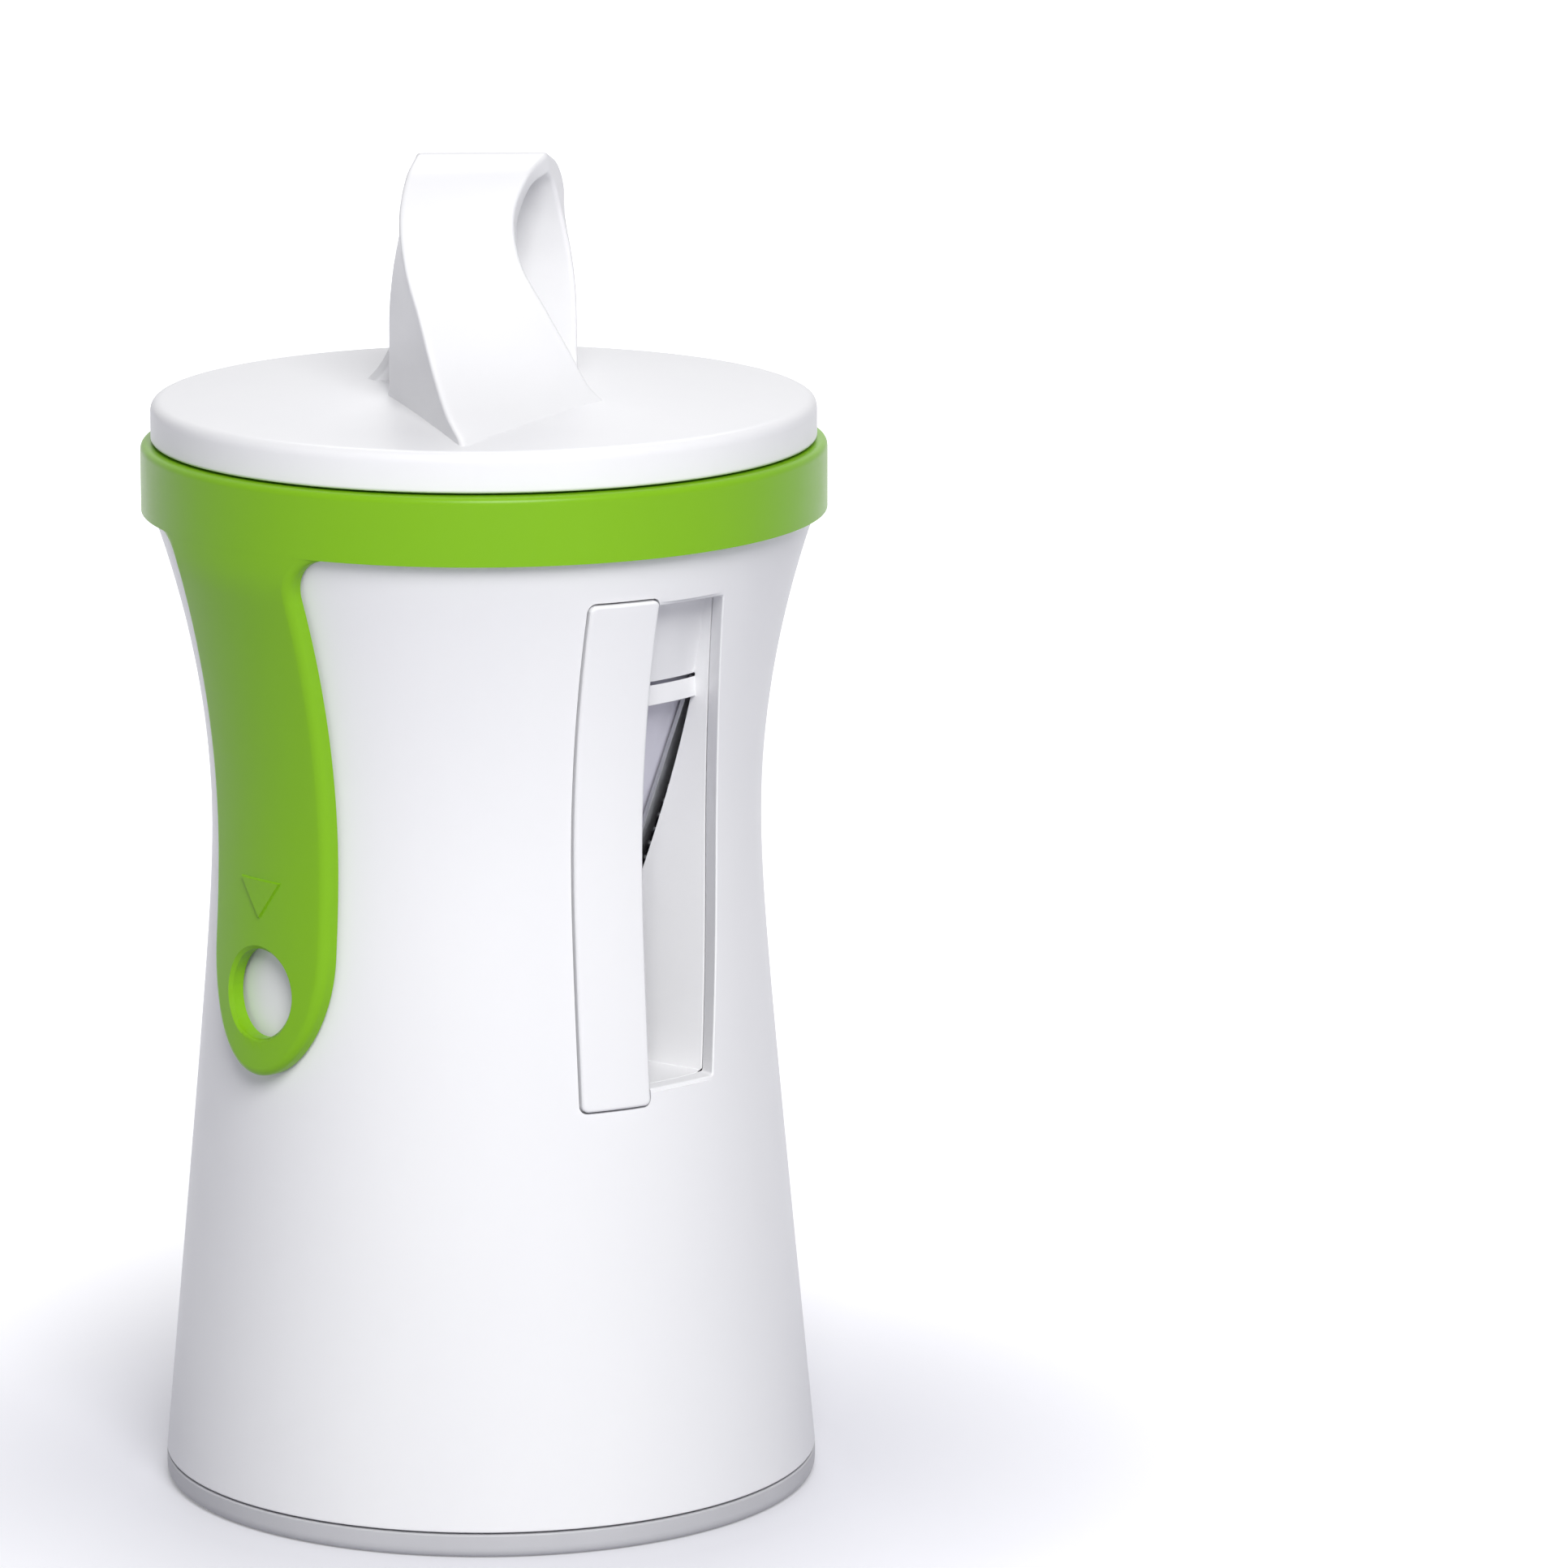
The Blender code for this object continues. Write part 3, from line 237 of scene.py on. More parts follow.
PEG_INSET = 8.0 * MM
WINDOW_STEPS = 45
ROUND = 180
FINE_ROUND = 240
# Roundings that the edges of the mouldings have in common.
CRISP = 0.1 * MM
SLIGHT = 0.2 * MM
SOFT = 0.3 * MM
EASY = 0.4 * MM
FULL = 0.5 * MM
SAME_POINT = 0.0005 * MM
ON_AXIS = 0.001 * MM
MOST_OF_HALF = 0.48
WHITE = (0.87, 0.87, 0.88)
WHITE_SHADE = (0.85, 0.85, 0.865)


def body_radius(height):
    """Outer radius of the hourglass: a hyperbola below the waist, a rising curve above it."""
    if height <= WAIST_HEIGHT:
        growth = BASE_RADIUS - WAIST_RADIUS
        reach = sqrt((growth + WAIST_ROUNDNESS) ** 2 - WAIST_ROUNDNESS ** 2)
        share = (WAIST_HEIGHT - height) / (WAIST_HEIGHT - SHELL_LOW)
        return WAIST_RADIUS - WAIST_ROUNDNESS + hypot(WAIST_ROUNDNESS, reach * share)
    share = min(1.0, (height - WAIST_HEIGHT) / (SHOULDER_HEIGHT - WAIST_HEIGHT))
    return WAIST_RADIUS + (BASE_RADIUS - WAIST_RADIUS) * share ** SHOULDER_POWER


def spaced(low, high, count):
    return [low + (high - low) * step / (count - 1) for step in range(count)]


def arc(centre, radius, start, end, count=9):
    """Points of an arc in a plane, with angles in degrees from its first axis."""
    return [(centre[0] + radius * cos(radians(angle)), centre[1] + radius * sin(radians(angle)))
            for angle in spaced(start, end, count)]


def eased(corners, parts=5):
    """A closed outline with rounded corners, from points that are each followed by their own rounding."""
    points = [Vector(corner[:-1]) for corner in corners]
    outline = []
    for i, (here, corner) in enumerate(zip(points, corners)):
        if corner[-1] == 0.0:
            outline.append(here)
            continue
        before = points[i - 1] - here
        after = points[(i + 1) % len(points)] - here
        cut_back = min(corner[-1] / tan(before.angle(after) / 2.0),
                       MOST_OF_HALF * before.length, MOST_OF_HALF * after.length)
        start = here + before.normalized() * cut_back
        end = here + after.normalized() * cut_back
        for t in spaced(0.0, 1.0, parts):
            outline.append(start.lerp(here, t).lerp(here.lerp(end, t), t))
    return outline


def wall_line(radius_at, inset, low, high, count):
    """Profile points of a wall from one height to another, set in from a surface."""
    return [(radius_at(z) - inset, z, 0.0) for z in spaced(low, high, count)]


def add_piece(name, bm):
    bmesh.ops.remove_doubles(bm, verts=bm.verts, dist=SAME_POINT)
    bmesh.ops.recalc_face_normals(bm, faces=bm.faces)
    mesh = bpy.data.meshes.new(name)
    bm.to_mesh(mesh)
    bm.free()
    piece = bpy.data.objects.new(name, mesh)
    bpy.context.scene.collection.objects.link(piece)
    return piece


def turned(name, outline, steps=ROUND):
    """A closed outline of (radius, height) turned round the axis into one closed skin."""
    bm = bmesh.new()
    rings = []
    for radius, height in outline:
        if radius < ON_AXIS:
            rings.append([bm.verts.new((0.0, 0.0, height))] * steps)
        else:
            rings.append([bm.verts.new(polar(2.0 * pi * k / steps, radius, height)) for k in range(steps)])
    for ring, after in zip(rings, rings[1:] + rings[:1]):
        for k in range(steps):
            corners = list(dict.fromkeys([ring[k - 1], ring[k], after[k], after[k - 1]]))
            if len(corners) > 2:
                bm.faces.new(corners)
    return add_piece(name, bm)


def lofted(name, sections):
    """Joins rings of as many points each into one closed skin."""
    bm = bmesh.new()
    rings = [[bm.verts.new(point) for point in section] for section in sections]
    for lower, upper in zip(rings, rings[1:]):
        for i in range(len(lower)):
            bm.faces.new((lower[i - 1], lower[i], upper[i], upper[i - 1]))
    bm.faces.new(rings[0])
    bm.faces.new(rings[-1])
    return add_piece(name, bm)


def prism(name, outline, near, far, bearing):
    """An outline of (across, height) carried outwards from one depth to another at a bearing."""
    place = Matrix.Rotation(bearing, 4, "Z")
    return lofted(name, [[place @ Vector((x, -depth, z)) for x, z in outline] for depth in (near, far)])


def settle(piece):
    """Makes the piece's live modifiers part of its mesh."""
    plain = bpy.data.meshes.new_from_object(piece.evaluated_get(bpy.context.evaluated_depsgraph_get()))
    piece.modifiers.clear()
    piece.data = plain


def cut(piece, tool, operation="DIFFERENCE"):
    """Cuts the piece with a tool, or joins or trims it, and removes the tool."""
    step = piece.modifiers.new("cut", "BOOLEAN")
    step.operation = operation
    step.solver = "EXACT"
    step.object = tool
    settle(piece)
    bpy.data.objects.remove(tool)


def soften(piece, width, sharper_than=38.0, rings=3):
    """Rounds every edge of the piece that is sharper than an angle."""
    bm = bmesh.new()
    bm.from_mesh(piece.data)
    bmesh.ops.remove_doubles(bm, verts=bm.verts, dist=0.25 * width)
    bmesh.ops.dissolve_degenerate(bm, edges=bm.edges, dist=0.05 * width)
    bm.to_mesh(piece.data)
    bm.free()
    edges = piece.modifiers.new("edges", "BEVEL")
    edges.width = width
    edges.segments = rings
    edges.limit_method = "ANGLE"
    edges.angle_limit = radians(sharper_than)
    edges.use_clamp_overlap = False
    settle(piece)


def finish_surface(piece, material, crease=45.0):
    """Smooth shading that keeps flat faces flat, and the piece's own finish."""
    piece.data.shade_smooth()
    piece.data.set_sharp_from_angle(angle=radians(crease))
    weights = piece.modifiers.new("weights", "WEIGHTED_NORMAL")
    weights.keep_sharp = True
    settle(piece)
    piece.data.materials.clear()
    piece.data.materials.append(material)


def new_material(name):
    material = bpy.data.materials.new(name)
    material.use_nodes = True
    shader = material.node_tree.nodes["Principled BSDF"]
    place = Wire(material.node_tree.nodes.new("ShaderNodeTexCoord").outputs["Object"])
    return material, shader, place


# A moulded skin's marks: the scale and detail of each noise, and how much haze and rubbing dull the gloss.
FLOW = (38.0, 4.0)
HAZE = (160.0, 5.0)
RUBBING = (620.0, 2.0)
FINE_PEEL = (1150.0, 2.0)
BROAD_PEEL = (240.0, 2.0)
BROAD_PEEL_SHARE = 1.6
PEEL_STRENGTH = 0.35
HAZE_DULLS = 0.09
RUBBING_DULLS = 0.05
MEAN_DULLING = 0.07
COAT_ROUGHNESS = 0.12


def moulded_plastic(name, colour, shade, roughness, coat, gloss, peel):
    """Moulded plastic: faint flow marks in the colour, an uneven gloss and a fine orange peel.

    The depth of the peel is given in hundredths of a millimetre.
    """
    material, shader, place = new_material(name)
    flow = place.stretched((1.0, 1.0, 0.35)).noise(*FLOW)
    flow.held(0.3, 0.75).blend(colour, shade).into(shader.inputs["Base Color"])
    haze = place.noise(*HAZE)
    rubbed = place.stretched((1.0, 1.0, 3.0)).noise(*RUBBING)
    dulled = roughness + haze * HAZE_DULLS + rubbed * RUBBING_DULLS - MEAN_DULLING
    dulled.into(shader.inputs["Roughness"])
    skin = place.noise(*FINE_PEEL) + place.noise(*BROAD_PEEL) * BROAD_PEEL_SHARE
    bump = skin.node("ShaderNodeBump", {},
                     {"Strength": PEEL_STRENGTH, "Distance": peel * 0.01 * MM, "Height": skin})
    bump.into(shader.inputs["Normal"])
    shader.inputs["Coat Weight"].default_value = coat
    shader.inputs["Coat Roughness"].default_value = COAT_ROUGHNESS
    shader.inputs["Specular IOR Level"].default_value = gloss
    return material


white_plastic = moulded_plastic("white_moulding", WHITE, WHITE_SHADE,
                                roughness=0.38, coat=0.05, gloss=0.4, peel=0.9)

shoulder = body_radius(SHOULDER_HEIGHT)
shell = turned("hourglass_shell", eased(
    [(body_radius(SHELL_LOW), SHELL_LOW, SOFT)]
    + wall_line(body_radius, 0.0, SHELL_LOW + 0.5 * MM, SHOULDER_HEIGHT - 0.5 * MM, 110)
    + [(shoulder, SHOULDER_HEIGHT, 0.0), (BASE_RADIUS, NECK_TOP, SLIGHT), (NECK_BORE, NECK_TOP, SLIGHT),
       (NECK_BORE, LEDGE_HEIGHT, CRISP), (shoulder - SHELL_WALL, LEDGE_HEIGHT, SLIGHT)]
    + wall_line(body_radius, SHELL_WALL, SHOULDER_HEIGHT, STEP_HEIGHT, 60)
    + [(body_radius(STEP_HEIGHT) - LOWER_WALL, STEP_HEIGHT, CRISP)]
    + wall_line(body_radius, LOWER_WALL, STEP_HEIGHT - MM, SHELL_LOW + MM, 30)
    + [(body_radius(SHELL_LOW) - LOWER_WALL, SHELL_LOW, SLIGHT)]))


def window_right(height):
    share = (height - WINDOW_LOW) / (WINDOW_HIGH - WINDOW_LOW)
    return BAR_WIDTH / 2.0 + WINDOW_WIDTH + WINDOW_BULGE * sin(pi * min(1.0, max(0.0, share)))


window_left = BAR_WIDTH / 2.0 - WINDOW_UNDERLAP


def window_section(growth, rise, flat_depth=None):
    """The window's outline grown by a margin, at a depth or as far over the shell's face as it rises."""
    low = WINDOW_LOW - growth
    high = WINDOW_HIGH + growth
    side = [(window_right(z) + growth, z, 0.0) for z in spaced(low, high, WINDOW_STEPS)[1:-1]]
    outline = eased([(window_left, low, 0.0), (window_right(low) + growth, low, WINDOW_CORNER)] + side
                    + [(window_right(high) + growth, high, WINDOW_CORNER), (window_left, high, 0.0)])
    place = Matrix.Rotation(BAR_BEARING, 4, "Z")
    return [place @ Vector((x, -(flat_depth or sqrt(body_radius(z) ** 2 - x ** 2) + rise), z))
            for x, z in outline]


rim_angles = [radians(angle) for angle in (0.0, 25.0, 50.0, 75.0)]
rim_growth = WINDOW_RIM * (1.0 - cos(rim_angles[-1]) + sin(rim_angles[-1]))
rim_rise = WINDOW_RIM * (sin(rim_angles[-1]) + cos(rim_angles[-1]) - 1.0)
cut(shell, lofted("window", [window_section(0.0, 0.0, WAIST_RADIUS / 2.0)] + [
    window_section(WINDOW_RIM * (1.0 - cos(a)), WINDOW_RIM * (sin(a) - 1.0)) for a in rim_angles] + [
        window_section(rim_growth, rim_rise), window_section(rim_growth, 0.0, 2.0 * WAIST_RADIUS)]))


def bar_outline(margin, corner_points=9):
    """The rounded outline of the throat bar, grown by a margin."""
    across = BAR_WIDTH / 2.0 + margin
    corner = BAR_CORNER + margin
    points = []
    for side_x, side_z, start in ((1, 1, 0), (-1, 1, 90), (-1, -1, 180), (1, -1, 270)):
        centre_z = (BAR_HIGH + margin - corner) if side_z > 0 else (BAR_LOW - margin + corner)
        points += arc((side_x * (across - corner), centre_z), corner, start, start + 90, corner_points)
    return points


ROW_STRETCH = 1.3
LINE_SHIFT = 0.37
RIM_RINGS = 5


def bent_plate(name, outline, thickness, rim, step, surface, bearing, flat_work=()):
    """A flat plate with a rounded front rim, worked with tools while flat, then bent onto a turned surface.

    The surface gives the radius at a share of the thickness (0 at the back) and a height.
    """
    plate = lofted(name, [[Vector((x, -depth, z)) for x, z in outline] for depth in (0.0, thickness)])
    if rim:
        bm = bmesh.new()
        bm.from_mesh(plate.data)
        front = [edge for edge in bm.edges if all(vert.co.y < -0.999 * thickness for vert in edge.verts)]
        bmesh.ops.bevel(bm, geom=front, offset=rim, offset_type="OFFSET", segments=RIM_RINGS, profile=0.5,
                        affect="EDGES", clamp_overlap=False)
        bm.to_mesh(plate.data)
        bm.free()
    for tool, operation in flat_work:
        cut(plate, tool, operation)
    bm = bmesh.new()
    bm.from_mesh(plate.data)
    for axis, pitch in ((0, step), (2, ROW_STRETCH * step)):
        low = min(vert.co[axis] for vert in bm.verts)
        high = max(vert.co[axis] for vert in bm.verts)
        for line in range(1, int((high - low) / pitch) + 1):
            point = Vector()
            point[axis] = low + (line - LINE_SHIFT) * pitch
            normal = Vector()
            normal[axis] = 1.0
            bmesh.ops.bisect_plane(bm, geom=bm.verts[:] + bm.edges[:] + bm.faces[:], dist=0.02 * MM,
                                   plane_co=point, plane_no=normal)
    for vert in bm.verts:
        radius = surface(-vert.co.y / thickness, vert.co.z)
        vert.co = polar(bearing + asin(vert.co.x / radius), radius, vert.co.z)
    bmesh.ops.recalc_face_normals(bm, faces=bm.faces)
    bm.to_mesh(plate.data)
    bm.free()
    return plate


def pocket_surface(share, height):
    return body_radius(height) - BAR_SUNK - SEAT_GAP + share * (BAR_SUNK + SEAT_GAP + MM)


POCKET_STEP = 1.4 * MM
cut(shell, bent_plate("bar_pocket", bar_outline(SEAT_GAP), MM, 0.0, POCKET_STEP, pocket_surface, BAR_BEARING))


def pin(name, start, direction, steps, parts=20):
    """A pin of several radii along a direction, from pairs of (distance, radius)."""
    turn_to = direction.to_track_quat("Z", "Y").to_matrix()
    return lofted(name, [[start + direction * distance
                          + turn_to @ Vector((radius * cos(angle), radius * sin(angle), 0.0))
                          for angle in [2.0 * pi * k / parts for k in range(parts)]]
                         for distance, radius in steps])


PEG_HEIGHTS = (BAR_LOW + PEG_INSET, BAR_HIGH - PEG_INSET)
outward = polar(BAR_BEARING, 1.0, 0.0)
for height in PEG_HEIGHTS:
    inside = body_radius(height) - SHELL_WALL - MM
    peg_hole = PEG_RADIUS + SEAT_GAP
    cut(shell, pin("peg_hole", polar(BAR_BEARING, 0.0, height), outward,
                   [(inside, peg_hole), (body_radius(height), peg_hole)]))
finish_surface(shell, white_plastic)
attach(shell, "root")
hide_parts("shell")

# The foot ring is a soft grey moulding with a rounded lower edge, and is open in the middle. Its spigot is
# pushed up inside the shell.
FOOT_ROUNDING = 1.8 * MM
FOOT_SPIGOT_HEIGHT = 5.0 * MM
FOOT_SPIGOT_WALL = 1.6 * MM
GREY = (0.56, 0.56, 0.58)
GREY_SHADE = (0.52, 0.52, 0.54)
grey_plastic = moulded_plastic("grey_moulding", GREY, GREY_SHADE,
                               roughness=0.48, coat=0.0, gloss=0.5, peel=1.6)
spigot_top = SHELL_LOW + FOOT_SPIGOT_HEIGHT
spigot = body_radius(spigot_top) - LOWER_WALL - SEAT_GAP
foot_outline = [(spigot - FOOT_SPIGOT_WALL, 0.0, SOFT), (BASE_RADIUS, 0.0, FOOT_ROUNDING),
                (BASE_RADIUS, FOOT_HEIGHT, 0.25 * MM), (spigot, FOOT_HEIGHT, CRISP),
                (spigot, spigot_top, EASY), (spigot - FOOT_SPIGOT_WALL, spigot_top, EASY)]
foot_ring = turned("foot_ring_moulding", eased(foot_outline, 7))
finish_surface(foot_ring, grey_plastic)
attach(foot_ring, "root")
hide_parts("foot_ring")

# The throat bar is a separate white moulding along the left edge of the window. It sits in a pocket, and its
# two pegs are headed over inside the shell.
BAR_STEP = 1.2 * MM
BAR_PROUD = 0.6 * MM
BAR_RIM = 0.45 * MM
PEG_HEAD_RADIUS = 2.0 * MM
PEG_HEAD_HEIGHT = 0.9 * MM


def bar_surface(share, height):
    return body_radius(height) - BAR_SUNK + share * (BAR_SUNK + BAR_PROUD)


bar = bent_plate("throat_bar_moulding", bar_outline(0.0, 12), BAR_SUNK + BAR_PROUD, BAR_RIM, BAR_STEP,
                 bar_surface, BAR_BEARING)
for height in PEG_HEIGHTS:
    nearest = min(body_radius(height - PEG_HEAD_RADIUS), body_radius(height + PEG_HEAD_RADIUS))
    inside = nearest - SHELL_WALL - RUN_GAP
    cut(bar, pin("peg", polar(BAR_BEARING, 0.0, height), outward,
                 [(inside - PEG_HEAD_HEIGHT, PEG_HEAD_RADIUS - SOFT),
                  (inside - PEG_HEAD_HEIGHT + SOFT, PEG_HEAD_RADIUS), (inside, PEG_HEAD_RADIUS),
                  (inside, PEG_RADIUS), (body_radius(height) - BAR_SUNK / 2.0, PEG_RADIUS)]), "UNION")
finish_surface(bar, white_plastic)
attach(bar, "root")
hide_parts("throat_bar")

# The deck is a white moulded disc with a hole in its middle, and closes the upper chamber from below. The
# funnel and the chute are screwed to it.
DECK_THICKNESS = 3.0 * MM
DECK_LOW = DECK_TOP - DECK_THICKNESS
FUNNEL_LOW_RADIUS = 8.5 * MM
FUNNEL_LOW_HEIGHT = 62.0 * MM
FUNNEL_TOP_RADIUS = 31.04 * MM
FUNNEL_TOP_HEIGHT = 127.0 * MM
FUNNEL_WALL = 1.5 * MM
FUNNEL_SLOPE = (FUNNEL_TOP_RADIUS - FUNNEL_LOW_RADIUS) / (FUNNEL_TOP_HEIGHT - FUNNEL_LOW_HEIGHT)
FLANGE_THICKNESS = 2.2 * MM
FLANGE_LOW = DECK_TOP + SEAT_GAP
FLANGE_TOP = FLANGE_LOW + FLANGE_THICKNESS
STATION_BEARING = radians(24.0)
SCREW_RADIUS = 1.1 * MM
FUNNEL_SCREW_CIRCLE = 12.3 * MM
FUNNEL_SCREWS = 3
CHUTE_SCREW_BEARING = radians(48.0)
CHUTE_SCREW_REACHES = (21.0 * MM, 31.0 * MM)


def funnel_radius(height):
    return FUNNEL_LOW_RADIUS + FUNNEL_SLOPE * (height - FUNNEL_LOW_HEIGHT)


def funnel_face(height):
    return funnel_radius(height) + FUNNEL_WALL


def drilled(piece, places, low, high, radius=SCREW_RADIUS + SEAT_GAP):
    """Upright holes through the piece, each at its own place in plan."""
    for place in places:
        start = Vector((place.x, place.y, low))
        cut(piece, pin("hole", start, Vector((0.0, 0.0, 1.0)), [(0.0, radius), (high - low, radius)], 28))


def ring_places(first, radius, count):
    """Places in plan, evenly round a ring from a first bearing."""
    return [polar(first + 2.0 * pi * k / count, radius, 0.0) for k in range(count)]


funnel_screw_places = ring_places(STATION_BEARING + pi / FUNNEL_SCREWS, FUNNEL_SCREW_CIRCLE, FUNNEL_SCREWS)
chute_screw_places = [polar(CHUTE_SCREW_BEARING, reach, 0.0) for reach in CHUTE_SCREW_REACHES]
deck_bore = funnel_face(FLANGE_LOW) + RUN_GAP
deck = turned("deck_moulding", eased([
    (deck_bore, DECK_LOW, SOFT), (body_radius(DECK_LOW) - LOWER_WALL - SEAT_GAP, DECK_LOW, EASY),
    (body_radius(DECK_TOP) - LOWER_WALL - SEAT_GAP, DECK_TOP, SOFT), (deck_bore, DECK_TOP, SOFT)]))
drilled(deck, funnel_screw_places + chute_screw_places, DECK_LOW - MM, DECK_TOP + MM)
finish_surface(deck, white_plastic)
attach(deck, "root")
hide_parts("deck")

# The fixed funnel is a white moulding with a flange, a short outlet tube and a flared lip. One slot runs
# along its wall under the knife, and three screws hold the flange to the deck.
FUNNEL_LIP_ROOM = 2.0 * MM
FUNNEL_EDGE = 0.18 * MM
FUNNEL_LIP_RISE = 2.0 * MM
FUNNEL_LIP_WIDTH = 1.6 * MM
FUNNEL_TUBE_LENGTH = 4.6 * MM
FUNNEL_FLANGE_RADIUS = 15.0 * MM
STATION_LOW = 67.0 * MM
STATION_HIGH = 111.0 * MM
SLOT_WIDTH = 3.0 * MM
tube_low = FLANGE_LOW - FUNNEL_TUBE_LENGTH
lip_high = FUNNEL_TOP_HEIGHT + FUNNEL_LIP_RISE
funnel = turned("funnel_moulding", eased([
    (funnel_radius(tube_low), tube_low, EASY), (funnel_face(tube_low), tube_low, EASY),
    (funnel_face(FLANGE_LOW), FLANGE_LOW, CRISP), (FUNNEL_FLANGE_RADIUS, FLANGE_LOW, SOFT),
    (FUNNEL_FLANGE_RADIUS, FLANGE_TOP, EASY), (funnel_face(FLANGE_TOP), FLANGE_TOP, FULL)]
    + wall_line(funnel_face, 0.0, STATION_LOW, FUNNEL_TOP_HEIGHT - FUNNEL_LIP_ROOM, 30)
    + [(funnel_face(FUNNEL_TOP_HEIGHT), FUNNEL_TOP_HEIGHT, SOFT),
       (funnel_face(lip_high) + FUNNEL_LIP_WIDTH, lip_high, 0.35 * MM),
       (funnel_radius(lip_high), lip_high, FULL)]
    + wall_line(funnel_radius, 0.0, FUNNEL_TOP_HEIGHT, STATION_LOW, 30)))
slot_half = SLOT_WIDTH / 2.0
slot_outline = eased([(-slot_half, STATION_LOW, MM), (slot_half, STATION_LOW, MM),
                      (slot_half, STATION_HIGH, MM), (-slot_half, STATION_HIGH, MM)])
cut(funnel, prism("slot", slot_outline, 0.5 * funnel_radius(STATION_LOW), BASE_RADIUS, STATION_BEARING))
drilled(funnel, funnel_screw_places, FLANGE_LOW - MM, FLANGE_TOP - SEAT_GAP)
soften(funnel, FUNNEL_EDGE)
finish_surface(funnel, white_plastic)
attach(funnel, "root")
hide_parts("funnel")

# The knife is a strip of hardened steel, ground along one side to an edge over the funnel's slot. Three
# rivets hold it to the funnel's wall.
KNIFE_WIDTH = 5.0 * MM
KNIFE_THICKNESS = 0.6 * MM
KNIFE_OVERLAP = 0.8 * MM
KNIFE_GRIND = 1.5 * MM
KNIFE_RIVETS = 3
KNIFE_EDGE_WIDTH = 0.1 * MM
KNIFE_EDGE_HEIGHT = 0.06 * MM
KNIFE_EDGE = 0.05 * MM
RIVET_RADIUS = 0.7 * MM
RIVET_HOLE_DEPTH = 3.0 * MM
STEEL_CREASE = 25.0
STEEL = (0.68, 0.69, 0.70)
STEEL_SHADE = (0.58, 0.59, 0.61)
# Ground steel's marks: the scale and detail of each noise, and how much they dull the shine.
GRIND = (260.0, 4.0)
PATCHES = (90.0, 4.0)
GRIND_DEPTH = 0.012 * MM
GRIND_DULLS = 0.16
PATCHES_DULL = 0.08
STEEL_SHINE = 0.1


def brushed_steel(name, grain, roughness):
    """Rolled and ground steel, with fine lines along one direction and a few duller patches."""
    material, shader, place = new_material(name)
    lines = place.stretched(grain).noise(*GRIND)
    patches = place.noise(*PATCHES).held(0.45, 0.8)
    lines.held(0.25, 0.8).blend(STEEL_SHADE, STEEL).into(shader.inputs["Base Color"])
    dulled = roughness + lines * GRIND_DULLS + patches * PATCHES_DULL - STEEL_SHINE
    dulled.into(shader.inputs["Roughness"])
    bump = lines.node("ShaderNodeBump", {}, {"Strength": 0.5, "Distance": GRIND_DEPTH, "Height": lines})
    bump.into(shader.inputs["Normal"])
    shader.inputs["Metallic"].default_value = 1.0
    shader.inputs["Anisotropic"].default_value = 0.5
    return material


def cone_normal(bearing):
    """Outward direction square to the funnel's and the drum's sloping wall."""
    tilt = hypot(1.0, FUNNEL_SLOPE)
    return polar(bearing, 1.0 / tilt, -FUNNEL_SLOPE / tilt)


def knife_point(across, height, lift):
    """A point of the flat knife, which lies along the slot on a plane that touches the cone there."""
    side = Vector((cos(STATION_BEARING), sin(STATION_BEARING), 0.0))
    wall = polar(STATION_BEARING, funnel_face(height), height)
    return wall + side * across + cone_normal(STATION_BEARING) * lift


def rivet_hole(piece, place, bearing):
    """A hole for a rivet through a thin strip that lies on a cone at a bearing."""
    outwards = cone_normal(bearing)
    bore = RIVET_RADIUS + SEAT_GAP
    cut(piece, pin("rivet_hole", place - outwards * MM, outwards, [(0.0, bore), (RIVET_HOLE_DEPTH, bore)]))


knife_steel = brushed_steel("knife_steel", (6.0, 6.0, 0.5), 0.26)
knife_edge = SLOT_WIDTH / 2.0 - KNIFE_OVERLAP
knife_back = knife_edge + KNIFE_WIDTH
knife_low = STATION_LOW - SLOT_WIDTH / 2.0
knife_high = STATION_HIGH + SLOT_WIDTH / 2.0
knife_over = SEAT_GAP + KNIFE_THICKNESS
knife_section = [(knife_edge, SEAT_GAP), (knife_back, SEAT_GAP), (knife_back, knife_over),
                 (knife_edge + KNIFE_GRIND, knife_over),
                 (knife_edge + KNIFE_EDGE_WIDTH, SEAT_GAP + KNIFE_EDGE_HEIGHT)]
knife = lofted("knife_strip", [[knife_point(x, z, lift) for x, lift in knife_section]
                               for z in spaced(knife_low, knife_high, 12)])
rivet_line = knife_edge + 0.6 * KNIFE_WIDTH
rivet_heights = spaced(knife_low + 1.6 * KNIFE_WIDTH, knife_high - KNIFE_WIDTH, KNIFE_RIVETS)
for height in rivet_heights:
    rivet_hole(knife, knife_point(rivet_line, height, 0.0), STATION_BEARING)
soften(knife, KNIFE_EDGE, rings=2)
finish_surface(knife, knife_steel, STEEL_CREASE)
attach(knife, "root")
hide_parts("straight_blade")

# Rivets and screws come in rows and rings, each one small steel turning, repeated by the same node tree. The
# rivets that hold the knife have a small head, on a shank that ends in the funnel's wall.
RIVET_HEAD_RADIUS = 1.3 * MM
RIVET_HEAD_HEIGHT = 0.4 * MM
HEAD_EDGE = 0.08 * MM
TURNING_CREASE = 35.0


